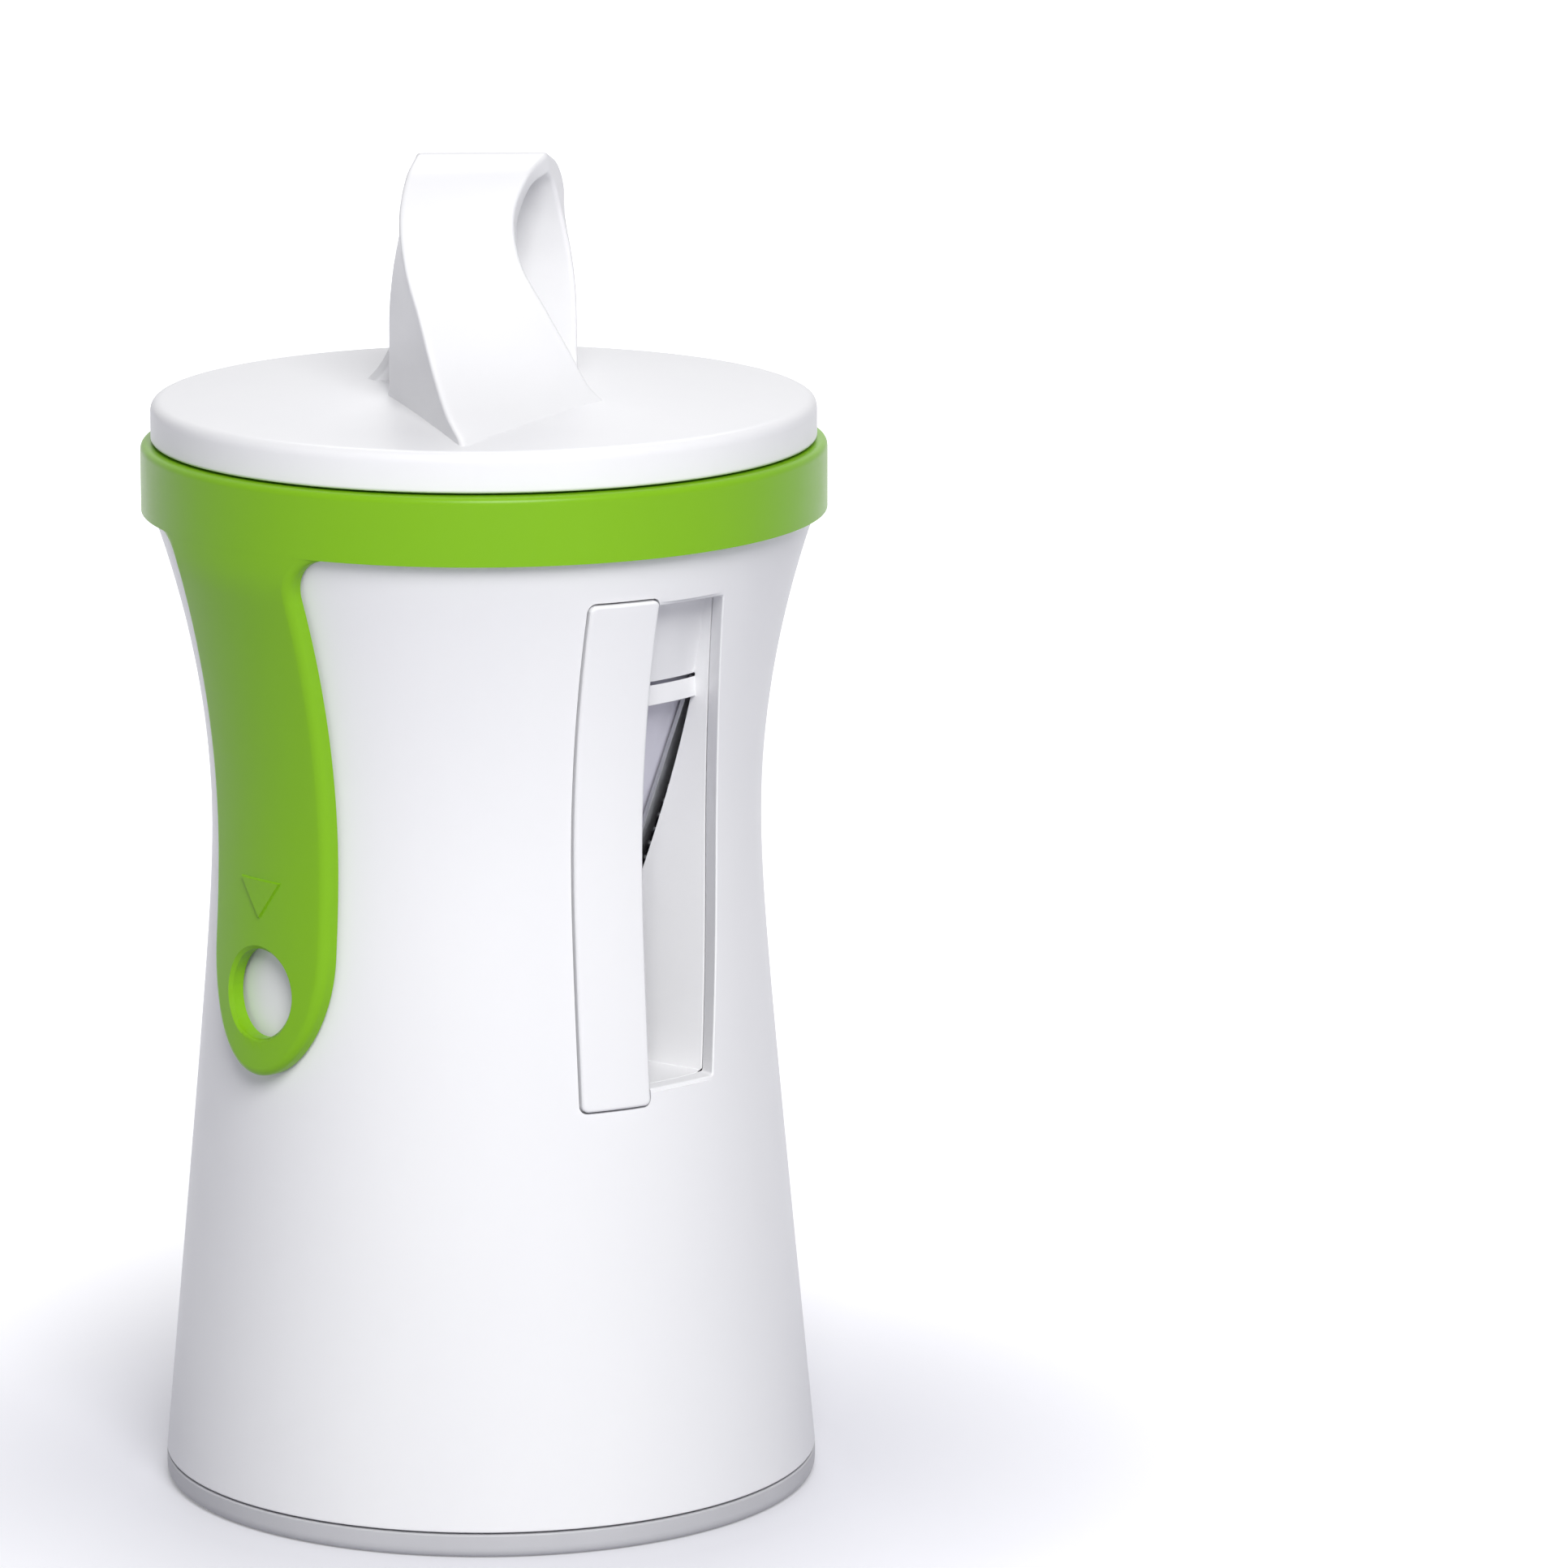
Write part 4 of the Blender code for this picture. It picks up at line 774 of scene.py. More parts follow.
def rows_and_rings():
    """A node tree that adds copies of an item: copy k is moved by k steps, then turned by k turns about Z."""
    tree = bpy.data.node_groups.new("rows_and_rings", "GeometryNodeTree")
    face = tree.interface
    face.new_socket("Geometry", in_out="OUTPUT", socket_type="NodeSocketGeometry")
    face.new_socket("Geometry", in_out="INPUT", socket_type="NodeSocketGeometry")
    for name, kind in (("Item", "Object"), ("Copies", "Int"), ("First", "Vector"), ("Step", "Vector"),
                       ("Turn", "Float"), ("Lean", "Vector"), ("Size", "Vector"), ("Growth", "Vector"),
                       ("Finish", "Material")):
        face.new_socket(name, in_out="INPUT", socket_type="NodeSocket" + kind)
    entry = tree.nodes.new("NodeGroupInput")
    given = {socket.name: Wire(socket) for socket in entry.outputs if socket.name}
    start = given["Turn"]
    number = start.node("GeometryNodeInputIndex", {}, {})
    angle = number * given["Turn"]

    def along(base, step):
        """The base vector plus the step taken as many times as the copy's number."""
        taken = start.node("ShaderNodeVectorMath", {"operation": "SCALE"}, {0: step, 3: number})
        return start.node("ShaderNodeVectorMath", {"operation": "ADD"}, {0: base, 1: taken})

    spot = start.node("ShaderNodeVectorRotate", {"rotation_type": "Z_AXIS"},
                      {"Vector": along(given["First"], given["Step"]), "Angle": angle})
    points = start.node("GeometryNodePoints", {}, {"Count": given["Copies"], "Position": spot})
    item = start.node("GeometryNodeObjectInfo", {"transform_space": "ORIGINAL"}, {"Object": given["Item"]},
                      output=4)
    lean = start.node("FunctionNodeEulerToRotation", {}, {"Euler": given["Lean"]})
    turn_vector = start.node("ShaderNodeCombineXYZ", {}, {"Z": angle})
    turn = start.node("FunctionNodeEulerToRotation", {}, {"Euler": turn_vector})
    facing = start.node("FunctionNodeRotateRotation", {"rotation_space": "GLOBAL"},
                        {"Rotation": lean, "Rotate By": turn})
    copies = start.node("GeometryNodeInstanceOnPoints", {},
                        {"Points": points, "Instance": item, "Rotation": facing,
                         "Scale": along(given["Size"], given["Growth"])})
    joined = tree.nodes.new("GeometryNodeJoinGeometry")
    copies.into(joined.inputs[0])
    given["Geometry"].into(joined.inputs[0])
    solid = start.node("GeometryNodeRealizeInstances", {}, {"Geometry": Wire(joined.outputs[0])})
    dressed = start.node("GeometryNodeSetMaterial", {}, {"Geometry": solid, "Material": given["Finish"]})
    dressed.into(tree.nodes.new("NodeGroupOutput").inputs[0])
    return tree


repeat_tree = rows_and_rings()


def repeated(name, rows, finish):
    """One mesh of all the copies of the rows. Each row is a dict of the tree's inputs."""
    base = bpy.data.objects.new(name, bpy.data.meshes.new(name))
    bpy.context.scene.collection.objects.link(base)
    keys = {item.name: item.identifier for item in repeat_tree.interface.items_tree if item.in_out == "INPUT"}
    for row in rows:
        modifier = base.modifiers.new("row", "NODES")
        modifier.node_group = repeat_tree
        whole = {"Step": Vector(), "Turn": 0.0, "Lean": Vector(), "Size": Vector((1.0, 1.0, 1.0)),
                 "Growth": Vector(), "Finish": finish, **row}
        for key, value in whole.items():
            modifier[keys[key]] = value
    settle(base)
    for item in {row["Item"] for row in rows}:
        bpy.data.objects.remove(item)
    return base


def turned_item(name, corners, steps=24, parts=5):
    """A small turning that stands on its own axis, shaded before it is repeated."""
    item = turned(name, eased(corners, parts), steps)
    item.data.shade_smooth()
    item.data.set_sharp_from_angle(angle=radians(TURNING_CREASE))
    return item


def rivet_item(name, top, depth):
    """A rivet whose axis is Z: its shank starts at a depth below 0 and its head stands over the top."""
    head = top + SEAT_GAP
    return turned_item(name, [
        (0.0, -depth, 0.0), (RIVET_RADIUS, -depth, CRISP), (RIVET_RADIUS, head, 0.0),
        (RIVET_HEAD_RADIUS, head, HEAD_EDGE), (0.72 * RIVET_HEAD_RADIUS, head + RIVET_HEAD_HEIGHT, SOFT),
        (0.0, head + RIVET_HEAD_HEIGHT, 0.0)])


def lean_out(bearing):
    """Turns an item's own Z to the cone's outward direction at a bearing, and its Y up the slope."""
    return Vector((pi / 2.0 + atan2(FUNNEL_SLOPE, 1.0), 0.0, bearing))


fastener_steel = brushed_steel("fastener_steel", (1.0, 1.0, 1.0), 0.3)
rivet_step = knife_point(rivet_line, rivet_heights[1], 0.0) - knife_point(rivet_line, rivet_heights[0], 0.0)
sag = rivet_line ** 2 / (2.0 * funnel_face(rivet_heights[0]))
knife_rivets = repeated("knife_rivets", [{
    "Item": rivet_item("rivet", knife_over, sag + FUNNEL_WALL / 2.0), "Copies": KNIFE_RIVETS,
    "First": knife_point(rivet_line, rivet_heights[0], 0.0), "Step": rivet_step,
    "Lean": lean_out(STATION_BEARING)}], fastener_steel)
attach(knife_rivets, "root")
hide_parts("blade_rivet_1", "blade_rivet_2", "blade_rivet_3")

# Five steel screws come up through the deck, with pan heads and cross recesses. Three hold the funnel and two
# hold the chute.
SCREW_HEAD_RADIUS = 2.1 * MM
SCREW_HEAD_HEIGHT = 1.3 * MM
SCREW_POINT = 0.5 * MM
RECESS_HALF_WIDTH = 0.25 * MM
RECESS_REACH = 0.6
RECESS_DEPTH = 0.35
CHUTE_FLOOR = 2.4 * MM


def screw_item(name, length):
    """A screw that points up, with its seat at 0 and a cross recess in the head below."""
    item = turned_item(name, [
        (0.0, -SCREW_HEAD_HEIGHT, 0.0), (0.75 * SCREW_HEAD_RADIUS, -SCREW_HEAD_HEIGHT, FULL),
        (SCREW_HEAD_RADIUS, -0.5 * SCREW_HEAD_HEIGHT, FULL), (SCREW_HEAD_RADIUS, 0.0, HEAD_EDGE),
        (SCREW_RADIUS, 0.0, CRISP), (SCREW_RADIUS, length - SCREW_POINT, CRISP),
        (0.7 * SCREW_RADIUS, length, CRISP), (0.0, length, 0.0)], 32)
    arm = RECESS_REACH * SCREW_HEAD_RADIUS
    half = RECESS_HALF_WIDTH
    depth = -RECESS_DEPTH * SCREW_HEAD_HEIGHT
    for across, along in ((arm, half), (half, arm)):
        wide = [(-across, -along), (across, -along), (across, along), (-across, along)]
        cut(item, lofted("recess", [[Vector((x, y, -2.0 * SCREW_HEAD_HEIGHT)) for x, y in wide],
                                    [Vector((0.8 * x, 0.8 * y, depth)) for x, y in wide]]))
    item.data.set_sharp_from_angle(angle=radians(TURNING_CREASE))
    return item


seat = DECK_LOW - SEAT_GAP
to_seat = Vector((0.0, 0.0, seat))
deck_screws = repeated("deck_screws", [
    {"Item": screw_item("long_screw", FLANGE_TOP - 2.0 * SEAT_GAP - seat), "Copies": FUNNEL_SCREWS,
     "First": funnel_screw_places[0] + to_seat, "Turn": 2.0 * pi / FUNNEL_SCREWS},
    {"Item": screw_item("chute_screw", DECK_TOP + CHUTE_FLOOR - SEAT_GAP - seat), "Copies": 2,
     "First": chute_screw_places[0] + to_seat, "Step": chute_screw_places[1] - chute_screw_places[0]}],
    fastener_steel)
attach(deck_screws, "root")
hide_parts("funnel_screws_1", "funnel_screws_2", "funnel_screws_3", "chute_screws_1",
            "chute_screws_2")

# The chute is a white box moulding between the drum and the window, with a floor, two side walls and a roof.
# Above the roof, a shallow hood closes the window's top.
THIN_EDGE = 0.15 * MM
STATION_HALF_ANGLE = radians(12.0)
DRUM_ROOM = 2.7 * MM
DRUM_WALL = 1.2 * MM
COMB_FRAME = 3.2 * MM
CHUTE_ROOM = 2.1 * MM
HOOD_ROOM = 1.0 * MM
HOOD_SKIN = 0.9 * MM
CHUTE_WALL = 1.6 * MM
DUCT_HIGH = STATION_HIGH + RUN_GAP
HOOD_LOW = STATION_HIGH + COMB_FRAME + 2.0 * RUN_GAP
CUT_PAST = 3.0 * MM


def drum_bore(height):
    return funnel_face(height) + DRUM_ROOM


def drum_face(height):
    return drum_bore(height) + DRUM_WALL


def duct_inner(height):
    return max(drum_face(height) + CHUTE_ROOM, FUNNEL_FLANGE_RADIUS + RUN_GAP)


def hood_inner(height):
    return drum_face(height) + (HOOD_ROOM if height >= HOOD_LOW else CHUTE_ROOM)


def window_bearing(across, radius):
    return BAR_BEARING + atan2(across, sqrt(radius ** 2 - across ** 2))


def chute_face(height):
    return body_radius(height) - SHELL_WALL - SEAT_GAP


def chute_section(height, left, inner, wall, past):
    """Plan of the chute at a height, from a bearing to the window's right edge, grown by a wall."""
    face = chute_face(height)
    right = window_bearing(window_right(height), face)
    near = spaced(left - wall / inner, right + wall / inner, 25)
    far = spaced(left - wall / face, right + wall / face, 25)
    return [polar(a, face + past, height) for a in far] + [polar(a, inner, height) for a in reversed(near)]


duct_left = STATION_BEARING - STATION_HALF_ANGLE
duct_low = DECK_TOP + SEAT_GAP
hood_high = WINDOW_HIGH + CHUTE_WALL
hood_left = window_bearing(window_left, chute_face(WINDOW_HIGH))
chute = lofted("chute_moulding", [chute_section(z, duct_left, duct_inner(z), CHUTE_WALL, 0.0)
                                  for z in spaced(duct_low, DUCT_HIGH + CHUTE_WALL, 24)])
hood_heights = [DUCT_HIGH, HOOD_LOW - RUN_GAP] + spaced(HOOD_LOW, hood_high, 10)
cut(chute, lofted("hood", [chute_section(z, hood_left, hood_inner(z), CHUTE_WALL, 0.0)
                           for z in hood_heights]), "UNION")
cut(chute, lofted("duct", [chute_section(z, duct_left, duct_inner(z) - CUT_PAST, 0.0, CUT_PAST)
                           for z in spaced(duct_low + CHUTE_FLOOR, DUCT_HIGH, 24)]))
cut(chute, lofted("hood_pocket", [chute_section(z, hood_left, hood_inner(z) + HOOD_SKIN, 0.0, CUT_PAST)
                                  for z in [DUCT_HIGH - RUN_GAP] + spaced(HOOD_LOW, WINDOW_HIGH, 10)]))
drilled(chute, chute_screw_places, duct_low - MM, DECK_TOP + CHUTE_FLOOR)
soften(chute, THIN_EDGE, rings=2)
finish_surface(chute, white_plastic)
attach(chute, "root")
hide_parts("noodle_chute")

# The selector collar is a glossy green moulding that turns on the shell's neck. Its long tongue hugs the
# body, with a raised arrow over a bevelled finger hole.
COLLAR_RADIUS = 46.0 * MM
COLLAR_HEIGHT = 9.1 * MM
COLLAR_WALL = 1.2 * MM
COLLAR_TOP_WALL = 1.5 * MM
COLLAR_ROUNDING = 1.0 * MM
COLLAR_LOW = SHOULDER_HEIGHT + SEAT_GAP
COLLAR_TOP = COLLAR_LOW + COLLAR_HEIGHT
SKIRT_RADIUS = NECK_BORE - SEAT_GAP
MOUTH_RADIUS = SKIRT_RADIUS - 1.0 * MM
TONGUE_BEARING = radians(-39.0)
TONGUE_HALF_WIDTH = 11.2 * MM
TONGUE_LOW = 62.0 * MM
TONGUE_TIP_LENGTH = 17.0 * MM
TONGUE_THICKNESS = 2.2 * MM
TONGUE_GAP = 0.6 * MM
TONGUE_FILLET = 6.0 * MM
TONGUE_RIM = 1.1 * MM
TONGUE_INSET = 0.15 * MM
TONGUE_STEP = 1.5 * MM
TOOL_OVERLAP = 0.01 * MM
FLUSH = 0.02 * MM
FINGER_HOLE_HEIGHT = 73.0 * MM
FINGER_HOLE_RADIUS = 6.0 * MM
HOLE_BEVEL = 0.5 * MM
HOLE_PARTS = 64
ARROW_TOP = 88.5 * MM
ARROW_TIP = 83.2 * MM
ARROW_HALF_WIDTH = 4.0 * MM
ARROW_RISE = 0.35 * MM
ARROW_SLOPE = 0.15 * MM
GREEN = (0.208, 0.465, 0.007)
GREEN_SHADE = (0.200, 0.452, 0.007)

green_plastic = moulded_plastic("green_moulding", GREEN, GREEN_SHADE,
                                roughness=0.33, coat=0.0, gloss=0.24, peel=0.4)
collar = turned("collar_moulding", eased([
    (COLLAR_RADIUS - COLLAR_WALL, COLLAR_LOW, 0.0), (COLLAR_RADIUS, COLLAR_LOW, 0.0),
    (COLLAR_RADIUS, COLLAR_TOP, COLLAR_ROUNDING), (MOUTH_RADIUS, COLLAR_TOP, 0.7 * MM),
    (MOUTH_RADIUS, LEDGE_HEIGHT + SEAT_GAP, SLIGHT), (SKIRT_RADIUS, LEDGE_HEIGHT + SEAT_GAP, SLIGHT),
    (SKIRT_RADIUS, COLLAR_TOP - COLLAR_TOP_WALL, CRISP),
    (COLLAR_RADIUS - COLLAR_WALL, COLLAR_TOP - COLLAR_TOP_WALL, CRISP)], 8), FINE_ROUND)

tip_centre = TONGUE_LOW + TONGUE_TIP_LENGTH
tip = [(TONGUE_HALF_WIDTH * cos(radians(angle)), tip_centre + TONGUE_TIP_LENGTH * sin(radians(angle)))
       for angle in spaced(-180.0, 0.0, 61)]
fillet_x = TONGUE_HALF_WIDTH + TONGUE_FILLET
right_fillet = arc((fillet_x, COLLAR_LOW - TONGUE_FILLET), TONGUE_FILLET, 180.0, 90.0, 21)
left_fillet = [(-x, z) for x, z in reversed(right_fillet)]
root_high = COLLAR_LOW + COLLAR_HEIGHT / 2.0
tongue_outline = tip + right_fillet + [(fillet_x, root_high), (-fillet_x, root_high)] + left_fillet


def tongue_surface(share, height):
    """The tongue's back follows the body and its front runs softly into the collar's outer face."""
    back = min(body_radius(min(height, SHOULDER_HEIGHT)) + TONGUE_GAP,
               COLLAR_RADIUS - COLLAR_WALL + TONGUE_INSET)
    limit = COLLAR_RADIUS - FLUSH
    free = back + TONGUE_THICKNESS
    nearness = max(0.0, FULL - abs(free - limit)) / FULL
    front = min(free, limit) - nearness * nearness * FULL / 4.0 if height < COLLAR_LOW else limit
    return back + share * (front - back)


def flat_tool(name, outline, low, high, far_outline=None):
    """A tool for a plate that is still flat, between two depths, which may narrow to another outline."""
    return lofted(name, [[Vector((x, -depth, z)) for x, z in line]
                         for depth, line in ((low, outline), (high, far_outline or outline))])


def hole_line(radius):
    """The finger hole's edge, or that of its bevel, in points round its centre."""
    last = 360.0 * (HOLE_PARTS - 1) / HOLE_PARTS
    return arc((0.0, FINGER_HOLE_HEIGHT), radius, 0.0, last, HOLE_PARTS)


hole = hole_line(FINGER_HOLE_RADIUS)
arrow = [(-ARROW_HALF_WIDTH, ARROW_TOP), (0.0, ARROW_TIP), (ARROW_HALF_WIDTH, ARROW_TOP)]
face_top = ARROW_TOP - ARROW_SLOPE
face_half = ARROW_HALF_WIDTH - 2.0 * ARROW_SLOPE
arrow_face = [(-face_half, face_top), (0.0, ARROW_TIP + 1.6 * ARROW_SLOPE), (face_half, face_top)]
arrow_tool = flat_tool("arrow", arrow, TONGUE_THICKNESS - TOOL_OVERLAP, TONGUE_THICKNESS + ARROW_RISE,
                       arrow_face)
hole_tool = flat_tool("hole", hole, -MM, TONGUE_THICKNESS + MM)
bevel_tool = flat_tool("hole_bevel", hole, TONGUE_THICKNESS - HOLE_BEVEL, TONGUE_THICKNESS + TOOL_OVERLAP,
                       hole_line(FINGER_HOLE_RADIUS + HOLE_BEVEL))
tongue = bent_plate("tongue", tongue_outline, TONGUE_THICKNESS, TONGUE_RIM, TONGUE_STEP, tongue_surface,
                    TONGUE_BEARING,
                    ((arrow_tool, "UNION"), (hole_tool, "DIFFERENCE"), (bevel_tool, "DIFFERENCE")))
cut(collar, tongue, "UNION")
finish_surface(collar, green_plastic)
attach(collar, "selector")
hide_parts("selector_collar")

# The drum is a pale lavender moulding that hangs in the collar round the funnel. It has four stations, of
# which one is open and three carry a comb.
DRUM_SHOULDER_ROOM = 3.0 * MM
DRUM_SHOULDER_ROUNDING = 1.0 * MM
DRUM_FLARE_ROUNDING = 0.6 * MM
DRUM_RIM_ROUNDING = 0.25 * MM
DRUM_RIM_HEIGHT = 3.5 * MM
DRUM_RIM_DROP = 4.6 * MM
DRUM_FLARE_HEIGHT = 5.0 * MM
DRUM_LOW = FLANGE_TOP + RUN_GAP
DRUM_RIM_RADIUS = MOUTH_RADIUS - RUN_GAP
STATIONS = 4
STATION_STEP = radians(60.0)
PALE = (0.70, 0.69, 0.77)
PALE_SHADE = (0.66, 0.65, 0.74)
pale_plastic = moulded_plastic("pale_moulding", PALE, PALE_SHADE,
                               roughness=0.4, coat=0.1, gloss=0.5, peel=0.9)
flare_high = FUNNEL_TOP_HEIGHT + DRUM_FLARE_HEIGHT
rim_high = COLLAR_TOP - DRUM_RIM_DROP
rim_low = rim_high - DRUM_RIM_HEIGHT
rim_bore = DRUM_RIM_RADIUS - DRUM_WALL
flare_bore = rim_bore - DRUM_WALL
cone_high = FUNNEL_TOP_HEIGHT - DRUM_SHOULDER_ROOM
drum = turned("drum_moulding", eased(
    [(drum_bore(DRUM_LOW), DRUM_LOW, SLIGHT), (drum_face(DRUM_LOW), DRUM_LOW, SLIGHT)]
    + wall_line(drum_face, 0.0, STATION_LOW, cone_high, 30)
    + [(drum_face(FUNNEL_TOP_HEIGHT), FUNNEL_TOP_HEIGHT, DRUM_SHOULDER_ROUNDING),
       (flare_bore + DRUM_WALL, flare_high, DRUM_FLARE_ROUNDING), (DRUM_RIM_RADIUS, rim_low, SOFT),
       (DRUM_RIM_RADIUS, rim_high, DRUM_RIM_ROUNDING), (rim_bore, rim_high, DRUM_RIM_ROUNDING),
       (rim_bore, rim_low, SOFT), (flare_bore, flare_high, DRUM_FLARE_ROUNDING),
       (drum_bore(FUNNEL_TOP_HEIGHT), FUNNEL_TOP_HEIGHT, DRUM_SHOULDER_ROUNDING)]
    + wall_line(drum_bore, 0.0, cone_high, STATION_LOW, 30)))


def station_bearing(number):
    return STATION_BEARING + STATION_STEP * number


for number in range(STATIONS):
    middle = station_bearing(number)
    angles = spaced(middle - STATION_HALF_ANGLE, middle + STATION_HALF_ANGLE, 15)
    cut(drum, lofted("station", [[polar(a, drum_face(z) + MM, z) for a in angles]
                                 + [polar(a, drum_bore(z) - MM, z) for a in reversed(angles)]
                                 for z in (STATION_LOW, STATION_HIGH)]))
soften(drum, THIN_EDGE)
finish_surface(drum, pale_plastic)
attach(drum, "selector")
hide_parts("comb_drum")

# Each comb is a thin steel frame over one station, with a ground tooth across the opening at every pitch. The
# teeth of the three combs stand 2, 3 and 5 mm apart.
COMB_THICKNESS = 0.6 * MM
COMB_TOOTH = 0.7 * MM
COMB_EDGE = 0.06 * MM
COMB_RIVET_HEIGHTS = (STATION_LOW - COMB_FRAME / 2.0, STATION_HIGH + COMB_FRAME / 2.0)
FRAME_STEPS = 3
TOOTH_RISE = 0.35 * MM
TOOTH_RIDGE = 0.06 * MM
COMB_PITCHES = {"comb_2mm": 2.0 * MM, "comb_3mm": 3.0 * MM, "comb_5mm": 5.0 * MM}
comb_steel = brushed_steel("comb_steel", (5.0, 5.0, 0.6), 0.42)


def framed(low, high, strip, count):
    """Values across an opening, with those of a strip before it and of one after it."""
    points = FRAME_STEPS + 1
    return (spaced(low - strip, low, points) + spaced(low, high, count)[1:]
            + spaced(high, high + strip, points)[1:])


def comb_frame(name, number):
    """The comb's flat frame, bent over the drum: strips beside, under and over the opening."""
    middle = station_bearing(number)
    rows = framed(STATION_LOW, STATION_HIGH, COMB_FRAME, 16)
    bm = bmesh.new()
    grid = []
    for z in rows:
        bearings = framed(-STATION_HALF_ANGLE, STATION_HALF_ANGLE, COMB_FRAME / drum_face(z), 13)
        grid.append([bm.verts.new(polar(middle + a, drum_face(z), z) + cone_normal(middle + a) * SEAT_GAP)
                     for a in bearings])
    last_row = len(rows) - 1
    last_column = len(grid[0]) - 1
    for row in range(last_row):
        for column in range(last_column):
            if min(row, last_row - 1 - row, column, last_column - 1 - column) < FRAME_STEPS:
                bm.faces.new((grid[row][column], grid[row][column + 1], grid[row + 1][column + 1],
                              grid[row + 1][column]))
    bmesh.ops.delete(bm, geom=[vert for vert in bm.verts if not vert.link_faces], context="VERTS")
    grown = bmesh.ops.extrude_face_region(bm, geom=bm.faces[:])
    for vert in [item for item in grown["geom"] if isinstance(item, bmesh.types.BMVert)]:
        vert.co += cone_normal(atan2(vert.co.x, -vert.co.y)) * COMB_THICKNESS
    return add_piece(name, bm)


def tooth_item():
    """A tooth one metre long across X, ground to a ridge on its outer side. Each copy gets its own length."""
    half = COMB_TOOTH / 2.0
    side = 0.7 * COMB_THICKNESS
    ridge = COMB_THICKNESS + TOOTH_RISE
    section = [(-half, 0.0), (half, 0.0), (half, side), (TOOTH_RIDGE, ridge), (-TOOTH_RIDGE, ridge),
               (-half, side)]
    return lofted("tooth", [[Vector((x, y, z)) for y, z in section] for x in (-0.5, 0.5)])


for number, (node, pitch) in enumerate(COMB_PITCHES.items(), start=1):
    bearing = station_bearing(number)
    count = int((STATION_HIGH - STATION_LOW) / pitch + 0.01)
    first = STATION_LOW + (STATION_HIGH - STATION_LOW - (count - 1) * pitch) / 2.0
    half_chord = sin(STATION_HALF_ANGLE)
    sagitta = cos(STATION_HALF_ANGLE)
    base = polar(bearing, drum_face(first) * sagitta, first) + cone_normal(bearing) * SEAT_GAP
    step = polar(bearing, FUNNEL_SLOPE * pitch * sagitta, pitch)
    teeth = repeated(node + "_teeth", [{
        "Item": tooth_item(), "Copies": count, "First": base, "Step": step, "Lean": lean_out(bearing),
        "Size": Vector((2.0 * half_chord * drum_face(first), 1.0, 1.0)),
        "Growth": Vector((2.0 * half_chord * FUNNEL_SLOPE * pitch, 0.0, 0.0))}], comb_steel)
    comb = comb_frame(node + "_frame", number)
    for height in COMB_RIVET_HEIGHTS:
        rivet_hole(comb, polar(bearing, drum_face(height), height), bearing)
    soften(comb, COMB_EDGE, rings=2)
    for piece in (comb, teeth):
        finish_surface(piece, comb_steel, STEEL_CREASE)
        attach(piece, "selector")
        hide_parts(node)

# Two steel rivets hold each comb to the drum, one under the opening and one over it. Their shanks end halfway
# through the drum's wall.
comb_rivet = rivet_item("rivet", SEAT_GAP + COMB_THICKNESS, 0.5 * DRUM_WALL)
first_comb = station_bearing(1)
comb_rivets = repeated("comb_rivets", [
    {"Item": comb_rivet, "Copies": len(COMB_PITCHES), "First": polar(first_comb, drum_face(height), height),
     "Turn": STATION_STEP, "Lean": lean_out(first_comb)} for height in COMB_RIVET_HEIGHTS], fastener_steel)
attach(comb_rivets, "selector")
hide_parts(*[node + "_rivet_" + end for node in COMB_PITCHES for end in ("low", "high")])

# The cap is a white moulding with a shallow crown, a rim, and a spigot that runs in the guide ring. Its
# handle is one broad ribbon with half a twist, the same after half a turn, and moulded in one with the cap.
# The edges of one limb are given from foot to crown as (across, forward, rise) in millimetres.
CAP_RADIUS = 44.6 * MM
CAP_RIM_HEIGHT = 5.3 * MM
CAP_CROWN = 1.2 * MM
CAP_EDGE_ROUNDING = 1.6 * MM
CAP_PLATE = 2.5 * MM
CAP_LOW = COLLAR_TOP + SEAT_GAP
CAP_TOP = CAP_LOW + CAP_RIM_HEIGHT
GUIDE_RING_HEIGHT = 2.6 * MM
GUIDE_RING_WALL = 1.6 * MM
SPIGOT_WALL = 1.5 * MM
SPIGOT_LIP = 0.8 * MM
SPIGOT_LIP_HEIGHT = 1.0 * MM
CAP_EDGE_RISE = 0.05 * MM
HANDLE_ROUNDING = 0.75 * MM
CORNER_POINTS = 6
FACE_SPANS = 8
EDGE_SPANS = 2
CREST_EDGE = [(4.6, -43.0, -1.6), (3.8, -40.6, 0.6), (0.9, -34.3, 3.2), (-2.1, -27.7, 8.0),
              (-4.6, -23.4, 14.0), (-7.2, -19.2, 20.0), (-8.8, -14.2, 26.0), (-9.0, -8.0, 30.6),
              (-8.7, -1.5, 32.9)]
OUTER_EDGE = [(18.6, -5.6, -1.6), (17.4, -6.4, 0.6), (15.3, -7.6, 3.2), (13.0, -9.0, 8.0),
              (10.0, -10.6, 14.0), (6.9, -11.2, 20.0), (5.8, -9.4, 26.0), (7.0, -4.8, 30.6), (8.7, 1.5, 32.9)]
INNER_EDGE = [(17.0, -4.4, -1.6), (16.0, -4.8, 0.6), (14.2, -5.4, 3.0), (12.0, -6.0, 7.6),
              (9.2, -7.0, 13.2), (6.4, -7.4, 18.6), (5.6, -5.6, 24.0), (6.8, -2.2, 28.4), (8.7, 1.5, 30.0)]
BACK_EDGE = [(-12.6, -6.0, -1.6), (-12.2, -6.0, 0.6), (-12.0, -6.1, 3.0), (-11.9, -6.4, 7.6),
             (-11.7, -6.8, 13.2), (-11.0, -6.8, 18.6), (-9.9, -5.8, 24.0), (-9.2, -3.6, 28.4),
             (-8.7, -1.5, 30.0)]


def cap_height(radius):
    return CAP_TOP + CAP_CROWN * (1.0 - (radius / CAP_RADIUS) ** 2)


